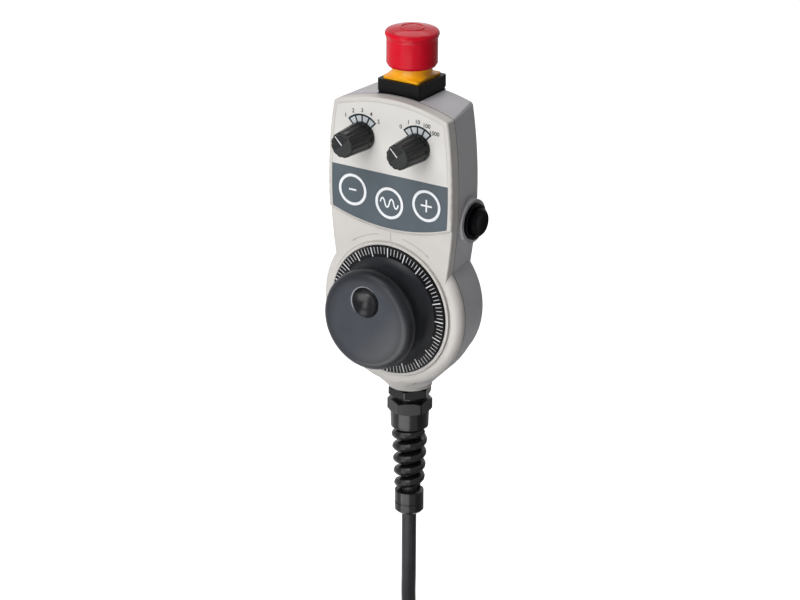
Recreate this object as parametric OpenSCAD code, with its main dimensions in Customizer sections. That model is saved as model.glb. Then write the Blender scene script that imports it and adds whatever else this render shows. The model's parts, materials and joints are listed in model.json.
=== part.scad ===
// Hand-held pulse generator: a moulded two-part housing that carries a handwheel with a 100-division dial,
// two rotary selectors, a three-key membrane panel, an emergency stop button, two enabling buttons and a
// cable gland with a spiral bend protection.
// Frame: the origin is on the handwheel axis in the rear contact plane, the front faces -Y and +Z is up.
// Depths are measured forward from the rear contact plane.

/* [Housing] */
// Half width of the housing at its widest level
side_half_w = 43.8; // [42:0.2:48]
// Height of the widest level above the handwheel axis
side_waist_z = 77; // [70:1:84]
// Radius of the gently bowed long sides
side_r = 300; // [260:10:400]
// Height of the crown above the handwheel axis
crown_z = 132; // [128:0.5:140]
// Radius of the crown
crown_r = 112; // [100:1:130]
// Radius of the round housing behind the handwheel
round_r = 49.3; // [47:0.1:52]
// Depth of the joint between the two shells
split_d = 33.2; // [32:0.2:35]
// Height of the front shell from the joint to the lower front surface
front_h = 6.1; // [5.8:0.1:8]
// Height of the raised panel above the lower front surface
panel_rise = 1.5; // [1:0.1:2]
// Gap between the rear shell and the contact plane
standoff = 1.5; // [1:0.1:2.5]
// Wall thickness of the shells
wall = 2.5; // [2:0.1:3]
// Taper of the rear shell's long sides
rear_draft = 5.2; // [1:0.1:6]
// Rounding of the rear edge of the upper housing
rear_round = 3.5; // [3:0.5:8]
// Taper of the rear shell around the round housing
round_draft = 4.2; // [1:0.1:5]
// Rounding of the rear edge of the round housing
round_back = 7.5; // [3:0.5:8]
// Rounding of the front edge of the round housing
front_round = 5.6; // [4:0.2:6]
// Rounding of the front edges of the upper housing
edge_round = 1.2; // [0.8:0.1:1.4]
// Width of the shadow gap around the joint
shadow_gap = 0.4; // [0.2:0.1:0.6]

/* [Panel] */
// Width of the bezel around the front foil
bezel_w = 2.8; // [2:0.2:4]
// Height of the middle of the panel's bowed lower edge
panel_low_z = 49.8; // [49:0.2:54]
// Radius of the panel's bowed lower edge
panel_low_r = 122; // [110:1:140]
// Thickness of the front foil
foil_t = 0.5; // [0.4:0.1:0.8]
// Height of the upper edge of the key field
band_top_z = 85.3; // [84:0.1:88]
// Radius of a key
key_r = 10; // [8.5:0.1:10.5]
// Sideways distance of the outer keys
key_x = 26.1; // [25:0.1:28]
// Height of the outer keys
key_z = 70.9; // [69:0.1:73]
// Height of the middle key
key_mid_z = 67.4; // [66:0.1:70]
// Travel of a key
key_travel = 0.5; // [0.3:0.1:0.6]

/* [Handwheel] */
// Radius of the dial
dial_r = 40; // [38:0.5:41]
// Thickness of the dial
dial_t = 2.2; // [1.8:0.1:2.6]
// Gap between the front surface and the dial
dial_lift = 1; // [0.6:0.1:1.4]
// Running gap around the dial
dial_gap = 0.4; // [0.3:0.1:0.6]
// Width of the lip around the dial
lip_w = 1.7; // [1.2:0.1:2]
// Height of the lip around the dial
lip_h = 1.6; // [1:0.1:2.4]
// Height of the handwheel above the dial
wheel_h = 24.3; // [20:0.1:28]
// Largest radius of the handwheel
wheel_r = 31; // [28:0.5:33]
// Radius of the handwheel's waist
wheel_waist_r = 28.5; // [26:0.5:30]
// Radius of the handwheel's foot on the dial
wheel_foot_r = 33.4; // [31:0.2:34]
// Rounding of the handwheel's front edge
wheel_round = 5.2; // [3:0.2:6]
// Distance of the finger dimple from the axis
dimple_off = 12.5; // [11:0.5:15]
// Radius of the finger dimple
dimple_r = 9.7; // [8:0.1:11]
// Depth of the finger dimple
dimple_deep = 5; // [3:0.2:6]
// Radius of the encoder shaft
shaft_r = 3; // [2.5:0.1:4]

/* [Rotary selectors] */
// Sideways distance of a selector from the middle
selector_x = 19.45; // [18.5:0.1:20.5]
// Height of the selectors
selector_z = 105.9; // [104:0.1:108]
// Length of a selector knob
selector_h = 21.4; // [16:0.1:24]
// Radius of a selector knob at the panel
selector_r = 9; // [8.5:0.1:10]
// Radius of a selector knob at its front
selector_top_r = 7.8; // [6.2:0.1:8]
// Number of grip flutes on a selector knob
selector_flutes = 12; // [10:1:20]
// Angle of the first switch position from upright
selector_start = 45; // [30:5:60]

/* [Emergency stop] */
// Distance behind the joint of the axis shared by the emergency stop, the enabling buttons and the gland
core_back = 16.2; // [15.6:0.1:17]
// Side of the square black base
stop_base_w = 30; // [27:0.5:31]
// Height of the underside of the black base
stop_base_z = 131.2; // [130.8:0.1:131.6]
// Thickness of the black base
stop_base_h = 9; // [7:0.5:11]
// Side of the yellow plate
stop_plate_w = 25.5; // [24:0.5:28]
// Thickness of the yellow plate
stop_plate_h = 1.5; // [1.3:0.1:2.5]
// Height of the yellow neck above its plate
stop_neck_h = 6.2; // [6:0.1:8]
// Radius of the yellow neck
stop_neck_r = 12.1; // [9:0.1:12.2]
// Radius of the red cap's body
stop_cap_r = 15.3; // [14:0.1:17]
// Radius of the red cap's rim
stop_rim_r = 16.3; // [15:0.1:18]
// Height of the red cap
stop_cap_h = 23.2; // [19:0.1:26]
// Travel of the emergency stop
stop_travel = 4; // [3:0.5:4.5]

/* [Enabling buttons] */
// Height of the enabling buttons
enable_z = 58; // [56:0.5:62]
// Radius of the boss on the housing side
enable_boss_r = 13.4; // [12.6:0.1:14]
// Distance of the boss face from the middle plane
enable_boss_x = 44.4; // [44:0.1:46]
// Radius of the black collar
enable_collar_r = 11.2; // [10.6:0.1:12]
// Height of the black collar above the boss
enable_collar_h = 2.2; // [1.5:0.1:3]
// Radius of the button
enable_r = 8.7; // [8:0.1:9.2]
// Height of the button above the collar
enable_h = 3.4; // [2.5:0.1:4]
// Travel of an enabling button
enable_travel = 4; // [3:0.5:4.5]

/* [Gland and cable] */
// Distance of the housing's lower end below the handwheel axis
throat_z = 56; // [55:0.5:60]
// Radius of the housing's lower end, where the gland is screwed in
throat_r = 13.1; // [13:0.1:14.4]
// Width across the flats of the gland body
gland_af = 23.6; // [22:0.1:25]
// Height of the gland body's hexagon
gland_hex_h = 5.4; // [4:0.1:7]
// Width across the flats of the dome nut
nut_af = 24.3; // [23:0.1:26]
// Height of the dome nut's hexagon
nut_hex_h = 7.5; // [6:0.1:9]
// Length of the dome nut's tapered collar
nut_cone_h = 9.6; // [8:0.2:12]
// Radius of the tapered collar at the nut
nut_cone_r = 11.9; // [11:0.1:12.1]
// Number of turns of the bend protection spiral
spiral_turns = 4.8; // [4:0.1:6]
// Pitch of the spiral
spiral_pitch = 8.1; // [7.5:0.1:9]
// Outer radius of the spiral at its upper end
spiral_r = 11.3; // [10:0.1:11.6]
// Outer radius of the end sleeve
sleeve_r = 8.9; // [7:0.1:9]
// Length of the end sleeve
sleeve_h = 13; // [9:0.5:15]
// Outer diameter of the cable
cable_d = 9; // [7:0.5:9.4]

/* [Fits] */
// Radial clearance of a shaft in its bore
fit = 0.05; // [0.03:0.01:0.1]
// Gap around a part that slides or turns in a moulded opening
run_gap = 0.3; // [0.25:0.05:0.4]
// Gap around a part that is set into another
set_gap = 0.1; // [0.05:0.05:0.2]

/* [Hidden] */
$fn = 96;
cut = 0.5;                                     // overlap of a cutting shape past the face it cuts
front_d = split_d + front_h;                   // depth of the lower front surface
core_d = split_d - core_back;                  // depth of the shared axis
panel_d = front_d + panel_rise;                // depth of the raised panel
roof_d = front_d - wall;                       // depth of the ceiling inside the front shell
floor_d = standoff + wall;                     // depth of the inner face of the rear wall
side_c = side_r - side_half_w;                 // distance of the side arcs' centres past the middle
crown_c = crown_z - crown_r;                   // height of the crown arc's centre
corner_v = [side_c, crown_c - side_waist_z];   // from the right side's centre to the crown's centre
corner_a = (side_r * side_r - crown_r * crown_r + corner_v * corner_v) / (2 * norm(corner_v));
corner_b = sqrt(side_r * side_r - corner_a * corner_a);
corner_x = -side_c + (corner_v[0] * corner_a - corner_v[1] * corner_b) / norm(corner_v);
corner_z = side_waist_z + (corner_v[1] * corner_a + corner_v[0] * corner_b) / norm(corner_v);
corner_off = 60;                               // distance of the corner arcs' centres past the middle
corner_lean = 0.8;                             // slope from such a centre to its corner
corner_in = 0.3;                               // depth that a corner arc takes off the corner
corner_r = norm([1, corner_lean]) * (corner_x + corner_off) - corner_in;
throat_flare = 22;                             // height and flare of the cones at the lower end
throat_round = 12;                             // rounding of their front
throat_step = 0.3;                             // distance of that front behind the front surface
throat_back = 16;                              // rounding of their rear
throat_lead = 9;                               // distance of the forward cone in front of the core axis
throat_rim = 0.4;                              // width and half height of the rim at the lower end
crown_in = 5.4;                                // thickness of the crown above the cavity
panel_low_c = panel_low_z + panel_low_r;       // height of that arc's centre
key_gap = 0.15;                                // gap between a key and the field around it
key_t = foil_t + 1.4;                          // thickness of a key
key_proud = 0.1;                               // height of a key above the panel
key_stem_h = 1;                                // length of the stem behind a key
board_half_w = side_half_w - wall - rear_draft - 2;
lip_r = dial_r + dial_gap;                     // inner radius of the lip around the dial
lip_d = front_d + lip_h;                       // depth of the lip's front edge
dial_d = front_d + dial_lift + dial_t;         // depth of the dial face
dial_bore_r = 11;                              // radius of the hole in the dial
dial_rim_h = 2;                                // height of the dial's rim that centres the handwheel
bush_r = 6;                                    // radius of the encoder bushing
bush_h = 2;                                    // length of the bushing in front of the housing
nut_t = 1.6;                                   // thickness of a bushing's nut
encoder_r = 20;                                // radius of the encoder
encoder_h = 20;                                // length of the encoder
hub_r = 7;                                     // radius of the hub inside the handwheel
hub_lift = 3;                                  // gap between the dial face and the hub
rib_t = 1.6;                                   // thickness of the handwheel's stiffening ribs
wheel_wall = 2.6;                              // wall of the handwheel
wheel_bore_r = wheel_waist_r - wheel_wall;     // radius inside the waist of the handwheel
rib_w = wheel_bore_r - hub_r + 2 * cut;        // length of a rib
wheel_top_d = dial_d + wheel_h;                // depth of the handwheel's front
wheel_roof_d = wheel_top_d - dimple_deep - 2;  // depth of the ceiling inside the handwheel
switch_r = 8;                                  // radius of a rotary switch
switch_h = 14;                                 // length of a rotary switch
switch_bush_r = 4.5;                           // radius of a rotary switch's bushing
stem_r = 3;                                    // radius of a selector shaft
flute_r = 1.6;                                 // radius of a knob's grip flutes
flute_in = 0.8;                                // depth of these flutes
skirt_h = 2.5;                                 // height of the smooth ring below them
stop_hole_r = 8.1;                             // radius of the emergency stop's mounting hole
stop_shank_z = crown_z - 15;                   // lower end of its threaded shank
stop_seat_z = stop_base_z - 0.8;               // height of the seat for its gasket
stop_foot_h = 1.6;                             // height of the set-back foot of its base
stop_foot_in = 0.8;                            // distance by which that foot is set back
stop_stem_r = 5;                               // radius of its plunger
stop_plate_z = stop_base_z + stop_base_h;      // height of the yellow plate
stop_neck_z = stop_plate_z + stop_plate_h;     // height of the yellow neck's foot
stop_cap_z = stop_neck_z + stop_neck_h - 0.3;  // height of the red cap's lower edge
stop_gap = 0.5;                                // gap around the yellow neck inside the red cap
clear = 0.5;                                   // gap between parts that stand side by side inside
stop_nut_r = core_d - floor_d - clear;         // radius of its ring nut
stop_nut_h = 3;                                // height of that nut
stop_nut_z = crown_c + sqrt(pow(crown_r - crown_in, 2) - pow(stop_nut_r, 2)) - stop_nut_h;
block_w = 2 * (selector_x - switch_r - clear); // width of the contact block
block_t = 18;                                  // depth of the contact block
block_h = 26;                                  // height of the contact block
block_bore_h = 14;                             // depth of the plunger's bore in it
enable_sleeve_r = enable_collar_r - 0.9;       // radius of the collar's sleeve inside the housing
enable_sleeve_h = 8;                           // length of that sleeve
enable_stem_r = 2.4;                           // radius of the stem behind a button
enable_stem_h = 9;                             // length of that stem
enable_switch_w = 14;                          // side of an enabling switch
enable_switch_t = 12;                          // length of an enabling switch
enable_switch_x = enable_boss_x - enable_sleeve_h - enable_switch_t;
enable_face_x = enable_boss_x + enable_collar_h;
enable_boss_h = 12;                            // length of the boss
thread_r = 10;                                 // radius of the gland's threads
gland_bore_r = cable_d / 2 + 0.5;              // clear bore around the cable
gland_seal_t = 0.9;                            // thickness of the gland's seal
gland_hex_z = -throat_z - gland_seal_t;        // top of the gland body's hexagon
nut_gap = 2.9;                                 // thread that shows above the dome nut
nut_z = gland_hex_z - gland_hex_h - nut_gap;   // top of the dome nut
cone_z = nut_z - nut_hex_h;                    // top of the tapered collar
spiral_z = cone_z - nut_cone_h;                // top of the spiral
spiral_h = spiral_turns * spiral_pitch;        // height of the spiral
spiral_rib = 7.3;                              // height of the spiral's rib
spiral_sink = 0.9;                             // depth by which the rib runs into the end sleeve
sleeve_z = spiral_z - spiral_h - spiral_rib + spiral_sink;
sleeve_edge = 1.4;                             // bevel at the sleeve's lower edge
sleeve_groove = 0.4;                           // depth and half width of the groove around the sleeve
body_turn = -12;                               // turn of the gland body's hexagon
nut_turn = 33;                                 // turn of the dome nut's hexagon
cable_z = sleeve_z - sleeve_h;                 // level where the cable leaves the sleeve
screw_r = 1.5;                                 // radius of a housing screw
screw_head_r = 2.8;                            // radius of its head
screw_boss_r = 4;                              // radius of the boss it runs in
screw_places = [[-28, 119], [28, 119], [-28, -22], [28, -22]];
magnet_r = 9;                                  // radius of a holding magnet
magnet_t = 3.5;                                // thickness of a holding magnet
magnet_bevel = 0.4;                            // bevel around its face
magnet_places = [[0, 0], [-22, 93], [22, 93]];
board_t = 1.6;                                 // thickness of a circuit board
board_lift = 4;                                // height of the main board above the rear wall
board_d = floor_d + board_lift;                // depth of the main board's rear face
board_w = 2 * (enable_switch_x - clear);       // width of the main board
board_h = 46;                                  // height of the main board
board_z = 35;                                  // height of its lower edge
peg_r = 2.5;                                   // radius of the pegs that carry it
peg_in = 5;                                    // distance of the pegs from its edges
header_h = 7;                                  // height of the wire header on it
chip_w = 12;                                   // side of the controller on it
keypad_h = 28;                                 // height of the keypad's board
keypad_gap = 0.2;                              // gap between that board and the front shell
dome_r = 4;                                    // radius of a key's dome switch
seal_in = 1.8;                                 // distance of the seal groove from the outline
seal_w = 1.4;                                  // width of the seal groove
seal_h = 1.2;                                  // depth of the seal groove
gap_deep = 0.8;                                // depth of the shadow gap around the joint
groove_w = 0.6;                                // width of the groove outside the dial's lip
groove_h = 0.5;                                // depth of that groove

// ---------------------------------------------------------------- helpers

// Turns a shape drawn in the front view (x right, y up, z forward) into the part's frame.
module forward() rotate([90, 0, 0]) children();

// Places a shape with its z axis along the vertical core axis.
module on_core() translate([0, -core_d, 0]) children();

// Disc of radius r and height h with its far rim rounded by e and its side tapered by t.
module rim_disc(r, h, e, t = 0) {
    rotate_extrude($fn = 360) {
        polygon([[0, 0], [r, 0], [r - t, h - e], [0, h - e]]);
        square([r - t - e, h]);
        translate([r - t - e, h - e]) intersection() {
            circle(r = e, $fn = 64);
            square(2 * e);
        }
    }
}

// Wide disc that softens the corner between the crown and the right (1) or left (-1) side.
module corner_disc(s, inset, h, e, t = 0)
    translate([-s * corner_off, corner_z - corner_lean * (corner_x + corner_off), 0])
        rim_disc(corner_r - inset, h, e, t);

// Upper housing: arcs that are each the rim of a disc, so that every edge keeps its rounding. The long sides
// taper by t and the crown stays straight.
module upper_form(inset, h, e, t = 0) {
    intersection() {
        translate([-side_c, side_waist_z, 0]) rim_disc(side_r - inset, h, e, t);
        translate([side_c, side_waist_z, 0]) rim_disc(side_r - inset, h, e, t);
        translate([0, crown_c, 0]) rim_disc(crown_r - inset, h, e);
        corner_disc(-1, inset, h, e, t * corner_lean * corner_lean);
        corner_disc(1, inset, h, e, t * corner_lean * corner_lean);
        translate([-2 * round_r, 0, 0]) cube([4 * round_r, 2 * crown_z, h]);
    }
}

// Whole outline without the throat: upper housing and round housing.
module body_form(inset, h, e_up, e_round, t_up = 0, t_round = 0) {
    upper_form(inset, h, e_up, t_up);
    rim_disc(round_r - inset, h, e_round, t_round);
}

// Flare of the lower end that carries the gland: a cone around the core axis with a rounded front.
module throat_flare_form() {
    intersection() {
        on_core() translate([0, 0, -throat_z])
            cylinder(r1 = throat_r, r2 = throat_r + throat_flare, h = throat_flare);
        forward() translate([0, 0, standoff]) rim_disc(throat_z + 2, front_d - standoff - throat_step, throat_round);
    }
}

// Its rear half, which a cone further forward and a wide disc draw in towards the rear.
module throat_back_form() {
    r = throat_r - throat_rim;
    intersection() {
        throat_flare_form();
        on_core() translate([0, -throat_lead, -throat_z])
            cylinder(r1 = r, r2 = r + throat_flare, h = throat_flare);
        forward() translate([0, 0, front_d]) mirror([0, 0, 1])
            rim_disc(throat_z + 2, front_d - standoff, throat_back, round_draft);
    }
}

// Round neck with a narrow rim at the lower end.
module neck_form() on_core() translate([0, 0, -throat_z]) {
    cylinder(r = throat_r, h = throat_flare);
    cylinder(r = throat_r + throat_rim, h = 2 * throat_rim);
    translate([0, 0, 2 * throat_rim]) cylinder(r1 = throat_r + throat_rim, r2 = throat_r, h = 2 * throat_rim);
}

// Block between two depths that is wide enough for the whole housing.
module slab(d1, d2) translate([-2 * round_r, -d2, -2 * throat_z]) cube([4 * round_r, d2 - d1, 4 * crown_z]);

// Panel outline: the four arcs of the raised panel, drawn in by inset.
module panel_outline(inset) {
    intersection() {
        translate([-side_c, side_waist_z]) circle(r = side_r - inset, $fn = 360);
        translate([side_c, side_waist_z]) circle(r = side_r - inset, $fn = 360);
        translate([0, crown_c]) circle(r = crown_r - inset, $fn = 360);
        translate([0, panel_low_c]) circle(r = panel_low_r - max(inset - edge_round, 0), $fn = 360);
    }
}

// Straight bore or pin between two depths at a place in the front view.
module post(place, r, d1, d2) translate([place[0], place[1], d1]) cylinder(r = r, h = d2 - d1);

module ring(r_out, r_in, h) {
    difference() {
        cylinder(r = r_out, h = h);
        translate([0, 0, -cut]) cylinder(r = r_in, h = h + 2 * cut);
    }
}

// Hexagon of a given width across the flats with a bevelled lower and upper rim.
module hexagon(af, h) {
    intersection() {
        cylinder(d = af / cos(30), h = h, $fn = 6);
        union() {
            cylinder(r1 = af / 2 + 0.2, r2 = af / 2 + 1.6, h = 0.8);
            translate([0, 0, 0.8]) cylinder(r = af / 2 + 1.6, h = h - 1.6);
            translate([0, 0, h - 0.8]) cylinder(r1 = af / 2 + 1.6, r2 = af / 2 + 0.2, h = 0.8);
        }
    }
}

// ---------------------------------------------------------------- housing

module rear_shell() color([0.80, 0.79, 0.77]) {
    h = split_d - standoff;
    difference() {
        union() {
            difference() {
                union() {
                    forward() translate([0, 0, split_d]) mirror([0, 0, 1])
                        body_form(0, h, rear_round, round_back, rear_draft, round_draft);
                    intersection() {
                        union() {
                            throat_back_form();
                            neck_form();
                        }
                        slab(standoff, split_d);
                    }
                    for (s = [-1, 1]) on_side(s) translate([0, 0, enable_boss_x - enable_boss_h])
                        cylinder(r = enable_boss_r, h = enable_boss_h);
                }
                // cavity
                forward() translate([0, 0, floor_d]) linear_extrude(split_d - floor_d + cut)
                    cavity_outline();
                on_core() translate([0, 0, -throat_z + wall]) cylinder(r = throat_r - 0.8, h = throat_flare);
            }
            forward() intersection() {
                union() {
                    for (p = screw_places) post(p, screw_boss_r, floor_d - cut, split_d);
                    for (p = magnet_places) post(p, magnet_r + wall, floor_d - cut, magnet_t + wall);
                    for (x = [-1, 1], y = [peg_in, board_h - peg_in])
                        post([x * (board_w / 2 - peg_in), board_z + y], peg_r, floor_d - cut, board_d);
                }
                translate([0, 0, standoff]) body_form(1, split_d - standoff, 0.5, 0.5);
            }
        }
        forward() {
            for (p = screw_places) {
                post(p, screw_r + 0.2, 0, split_d + cut);
                post(p, screw_head_r + 0.3, 0, floor_d + 6);
            }
            for (p = magnet_places) post(p, magnet_r + set_gap, 0, magnet_t);
            // seal groove and shadow gap along the joint
            translate([0, 0, split_d - seal_h]) linear_extrude(seal_h + cut) difference() {
                body_outline(seal_in);
                body_outline(seal_in + seal_w);
            }
            translate([0, 0, split_d - shadow_gap]) linear_extrude(shadow_gap + cut) difference() {
                body_outline(-wall);
                body_outline(gap_deep);
            }
        }
        stop_seat();
        on_core() translate([0, 0, crown_z - 4 * wall]) cylinder(r = stop_hole_r + set_gap, h = 5 * wall);
        // enabling buttons
        for (s = [-1, 1]) on_side(s) translate([0, 0, enable_boss_x - enable_sleeve_h - wall])
            cylinder(r = enable_sleeve_r + set_gap, h = enable_sleeve_h + wall + cut);
        // gland
        on_core() translate([0, 0, -throat_z - cut]) cylinder(r = thread_r + set_gap, h = 2 * wall);
    }
}

// Outline of the housing, drawn in by its own distance at the sides, the crown and the round housing.
module outline(side_in, top_in, round_in) {
    intersection() {
        translate([-side_c, side_waist_z]) circle(r = side_r - side_in, $fn = 360);
        translate([side_c, side_waist_z]) circle(r = side_r - side_in, $fn = 360);
        translate([0, crown_c]) circle(r = crown_r - top_in, $fn = 360);
        translate([-2 * round_r, 0]) square([4 * round_r, 2 * crown_z]);
    }
    circle(r = round_r - round_in, $fn = 360);
}

module body_outline(inset) outline(inset, inset, inset);

module cavity_outline() outline(wall + rear_draft, crown_in, wall + round_draft);

// Flat seat in the crown for the emergency stop's base.
module stop_seat() {
    w = stop_base_w + 2 * set_gap;
    on_core() translate([-w / 2, -w / 2, stop_seat_z]) cube([w, w, 2 * wall]);
}

module front_shell() color([0.86, 0.85, 0.82]) {
    difference() {
        union() {
            difference() {
                union() {
                    forward() translate([0, 0, split_d]) {
                        body_form(0, front_d - split_d, edge_round, front_round);
                        // raised panel: the same four arcs carried forward
                        intersection() {
                            upper_form(0, panel_d - split_d, edge_round);
                            translate([0, panel_low_c, 0])
                                rim_disc(panel_low_r, panel_d - split_d, edge_round);
                        }
                    }
                    intersection() {
                        throat_flare_form();
                        slab(split_d, front_d);
                    }
                    forward() translate([0, 0, split_d]) ring(lip_r + lip_w, lip_r, lip_d - split_d);
                }
                forward() translate([0, 0, split_d - cut]) linear_extrude(roof_d - split_d + cut)
                    cavity_outline();
            }
            forward() for (p = screw_places) post(p, screw_boss_r, split_d, roof_d + cut);
        }
        forward() {
            // recess of the foil, and a fine groove outside the lip of the dial
            translate([0, 0, panel_d - foil_t]) linear_extrude(foil_t + cut) panel_outline(bezel_w);
            translate([0, 0, front_d - groove_h]) difference() {
                cylinder(r = lip_r + lip_w + groove_w, h = groove_h + cut);
                cylinder(r = lip_r + lip_w, h = groove_h + cut);
            }
            post([0, 0], bush_r + set_gap, split_d, dial_d);
            for (s = [-1, 1])
                post([s * selector_x, selector_z], switch_bush_r + set_gap, split_d, panel_d + cut);
            for (p = key_places()) post(p, key_r + key_gap, split_d, panel_d + cut);
            for (p = screw_places) post(p, screw_r, split_d - cut, roof_d + 1);
        }
        stop_seat();
    }
}

function key_places() = [[-key_x, key_z], [0, key_mid_z], [key_x, key_z]];

module housing_seal() color([0.12, 0.12, 0.13])
    forward() translate([0, 0, split_d - seal_h + set_gap]) linear_extrude(seal_h - set_gap) difference() {
        body_outline(seal_in + set_gap);
        body_outline(seal_in + seal_w - set_gap);
    }

module housing_screw(i) color([0.55, 0.55, 0.57])
    forward() {
        post(screw_places[i], screw_head_r, floor_d + 3.5, floor_d + 6);
        post(screw_places[i], screw_r - set_gap / 2, floor_d + 6, roof_d);
    }

module magnet(i) color([0.70, 0.71, 0.72])
    forward() translate(concat(magnet_places[i], 0)) {
        cylinder(r1 = magnet_r - magnet_bevel, r2 = magnet_r, h = magnet_bevel);
        translate([0, 0, magnet_bevel]) cylinder(r = magnet_r, h = magnet_t - magnet_bevel);
    }

module main_board() color([0.10, 0.36, 0.20])
    forward() {
        translate([-board_w / 2, board_z, board_d]) cube([board_w, board_h, board_t]);
        translate([-board_w * 0.4, board_z + board_h * 0.25, board_d + board_t])
            cube([board_w * 0.8, header_h + 1, header_h]);
        translate([-chip_w / 2, board_z + board_h * 0.6, board_d + board_t]) cube([chip_w, chip_w, board_t]);
    }

// ---------------------------------------------------------------- front foil and keys

module panel_foil() color([0.87, 0.86, 0.83])
    forward() translate([0, 0, panel_d - foil_t]) linear_extrude(foil_t) difference() {
        intersection() {
            panel_outline(bezel_w + set_gap);
            translate([-2 * round_r, band_top_z]) square([4 * round_r, 2 * round_r]);
        }
        for (s = [-1, 1]) translate([s * selector_x, selector_z]) circle(r = switch_bush_r + set_gap);
    }

module key_band() color([0.33, 0.38, 0.42])
    forward() translate([0, 0, panel_d - foil_t]) linear_extrude(foil_t) difference() {
        intersection() {
            panel_outline(bezel_w + set_gap);
            translate([-2 * round_r, 0]) square([4 * round_r, band_top_z]);
        }
        for (p = key_places()) translate(p) circle(r = key_r + key_gap);
    }

// Key cap with a stem that ends just above its dome switch.
module key(i) color([0.33, 0.38, 0.42])
    forward() translate(concat(key_places()[i], panel_d + key_proud)) {
        translate([0, 0, -key_t]) cylinder(r = key_r, h = key_t);
        translate([0, 0, -key_t - key_stem_h]) cylinder(r = 2.5, h = key_stem_h + cut);
    }

module keypad_board() color([0.10, 0.36, 0.20])
    forward() {
        dome_d = panel_d + key_proud - key_t - key_stem_h - key_travel - keypad_gap;
        translate([-board_half_w, key_mid_z - keypad_h / 2, roof_d - keypad_gap - board_t])
            cube([2 * board_half_w, keypad_h, board_t]);
        for (p = key_places()) post(p, dome_r, roof_d - keypad_gap - cut, dome_d);
    }

// ---------------------------------------------------------------- handwheel

module handwheel_knob() color([0.16, 0.17, 0.19]) {
    bow_r = (wheel_h - wheel_round) * 0.62;
    bow_d = dial_d + (wheel_h - wheel_round) / 2 + 0.1;
    forward() difference() {
        rotate_extrude() difference() {
            union() {
                translate([0, dial_d]) square([wheel_foot_r, 4]);
                translate([0, dial_d]) square([wheel_r, wheel_h - wheel_round]);
                translate([0, dial_d]) square([wheel_r - wheel_round, wheel_h]);
                translate([wheel_r - wheel_round, wheel_top_d - wheel_round])
                    circle(r = wheel_round);
            }
            translate([wheel_waist_r + bow_r, bow_d]) circle(r = bow_r, $fn = 128);
            // hollow between the hub and the wall
            difference() {
                translate([0, dial_d - cut])
                    square([wheel_bore_r, wheel_roof_d - dial_d + cut]);
                translate([0, dial_d + hub_lift]) square([hub_r, wheel_h]);
            }
        }
        post([0, 0], shaft_r + fit / 5, dial_d, wheel_roof_d - 1);
        translate([0, dimple_off, wheel_top_d]) dimple_form();
    }
    // stiffening ribs between the hub and the wall
    forward() for (a = [30 : 60 : 330]) rotate(a)
        translate([hub_r - cut, -rib_t / 2, dial_d + 2 * hub_lift])
            cube([rib_w, rib_t, wheel_roof_d - dial_d - 2 * hub_lift + cut]);
}

// Ball-shaped hollow for the finger that cranks the handwheel.
module dimple_form() {
    ball_r = (dimple_r * dimple_r + dimple_deep * dimple_deep) / (2 * dimple_deep);
    translate([0, 0, ball_r - dimple_deep]) sphere(r = ball_r, $fn = 96);
}

module scale_dial() color([0.10, 0.10, 0.11])
    forward() {
        translate([0, 0, dial_d - dial_t]) difference() {
            union() {
                cylinder(r = dial_r, h = dial_t - 0.4);
                translate([0, 0, dial_t - 0.4]) cylinder(r1 = dial_r, r2 = dial_r - 0.4, h = 0.4);
            }
            translate([0, 0, -cut]) cylinder(r = dial_bore_r, h = dial_t + 2 * cut);
        }
        // rim that centres the handwheel
        translate([0, 0, dial_d - cut])
            ring(wheel_bore_r - set_gap, wheel_bore_r - dial_rim_h, dial_rim_h + cut);
    }

module handwheel_shaft() color([0.75, 0.75, 0.77])
    forward() post([0, 0], shaft_r, roof_d - encoder_h + 2, wheel_roof_d - 1.2);

module encoder_body() color([0.25, 0.25, 0.27])
    forward() difference() {
        union() {
            post([0, 0], encoder_r, roof_d - encoder_h, roof_d);
            post([0, 0], bush_r, roof_d - cut, front_d + bush_h);
        }
        post([0, 0], shaft_r + fit, roof_d - encoder_h + 1.8, dial_d + cut);
    }

module encoder_nut() color([0.75, 0.75, 0.77])
    forward() translate([0, 0, front_d]) difference() {
        cylinder(r = bush_r + 2.5, h = nut_t, $fn = 6);
        translate([0, 0, -cut]) cylinder(r = bush_r + fit, h = nut_t + 2 * cut);
    }

// ---------------------------------------------------------------- rotary selectors

// Fluted, tapered knob; its pointer slot looks at the first position.
module selector_knob(s) color([0.13, 0.13, 0.14]) {
    base_d = panel_d + run_gap;
    lean = atan((selector_r - selector_top_r) / selector_h);
    forward() translate([s * selector_x, selector_z, base_d]) difference() {
        union() {
            cylinder(r1 = selector_r, r2 = selector_top_r, h = selector_h - 0.5);
            translate([0, 0, selector_h - 0.5])
                cylinder(r1 = selector_top_r, r2 = selector_top_r - 0.5, h = 0.5);
        }
        translate([0, 0, -cut]) cylinder(r = switch_bush_r + 2.2, h = 3.2 + cut);
        translate([0, 0, -cut]) cylinder(r = stem_r + fit / 5, h = selector_h - 2);
        for (i = [0 : selector_flutes - 1]) rotate(selector_start + 90 + (i + 0.5) * 360 / selector_flutes)
            translate([selector_r + flute_r - flute_in, 0, skirt_h]) rotate([0, -lean, 0])
                cylinder(r = flute_r, h = selector_h, $fn = 32);
        rotate(selector_start) translate([-mark_w() / 2, 0, selector_h - 0.6])
            cube([mark_w(), selector_r, 1]);
    }
}

function mark_w() = 0.6;

module selector_mark(s) color([0.95, 0.95, 0.95])
    forward() translate([s * selector_x, selector_z, panel_d + run_gap + selector_h - 0.6])
        rotate(selector_start) translate([-mark_w() / 2 + 0.02, 0.02, 0])
            cube([mark_w() - 0.04, selector_top_r - 1, 0.65]);

module selector_shaft(s) color([0.75, 0.75, 0.77])
    forward() post([s * selector_x, selector_z], stem_r, roof_d - switch_h + 2, panel_d + selector_h - 2.2);

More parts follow.
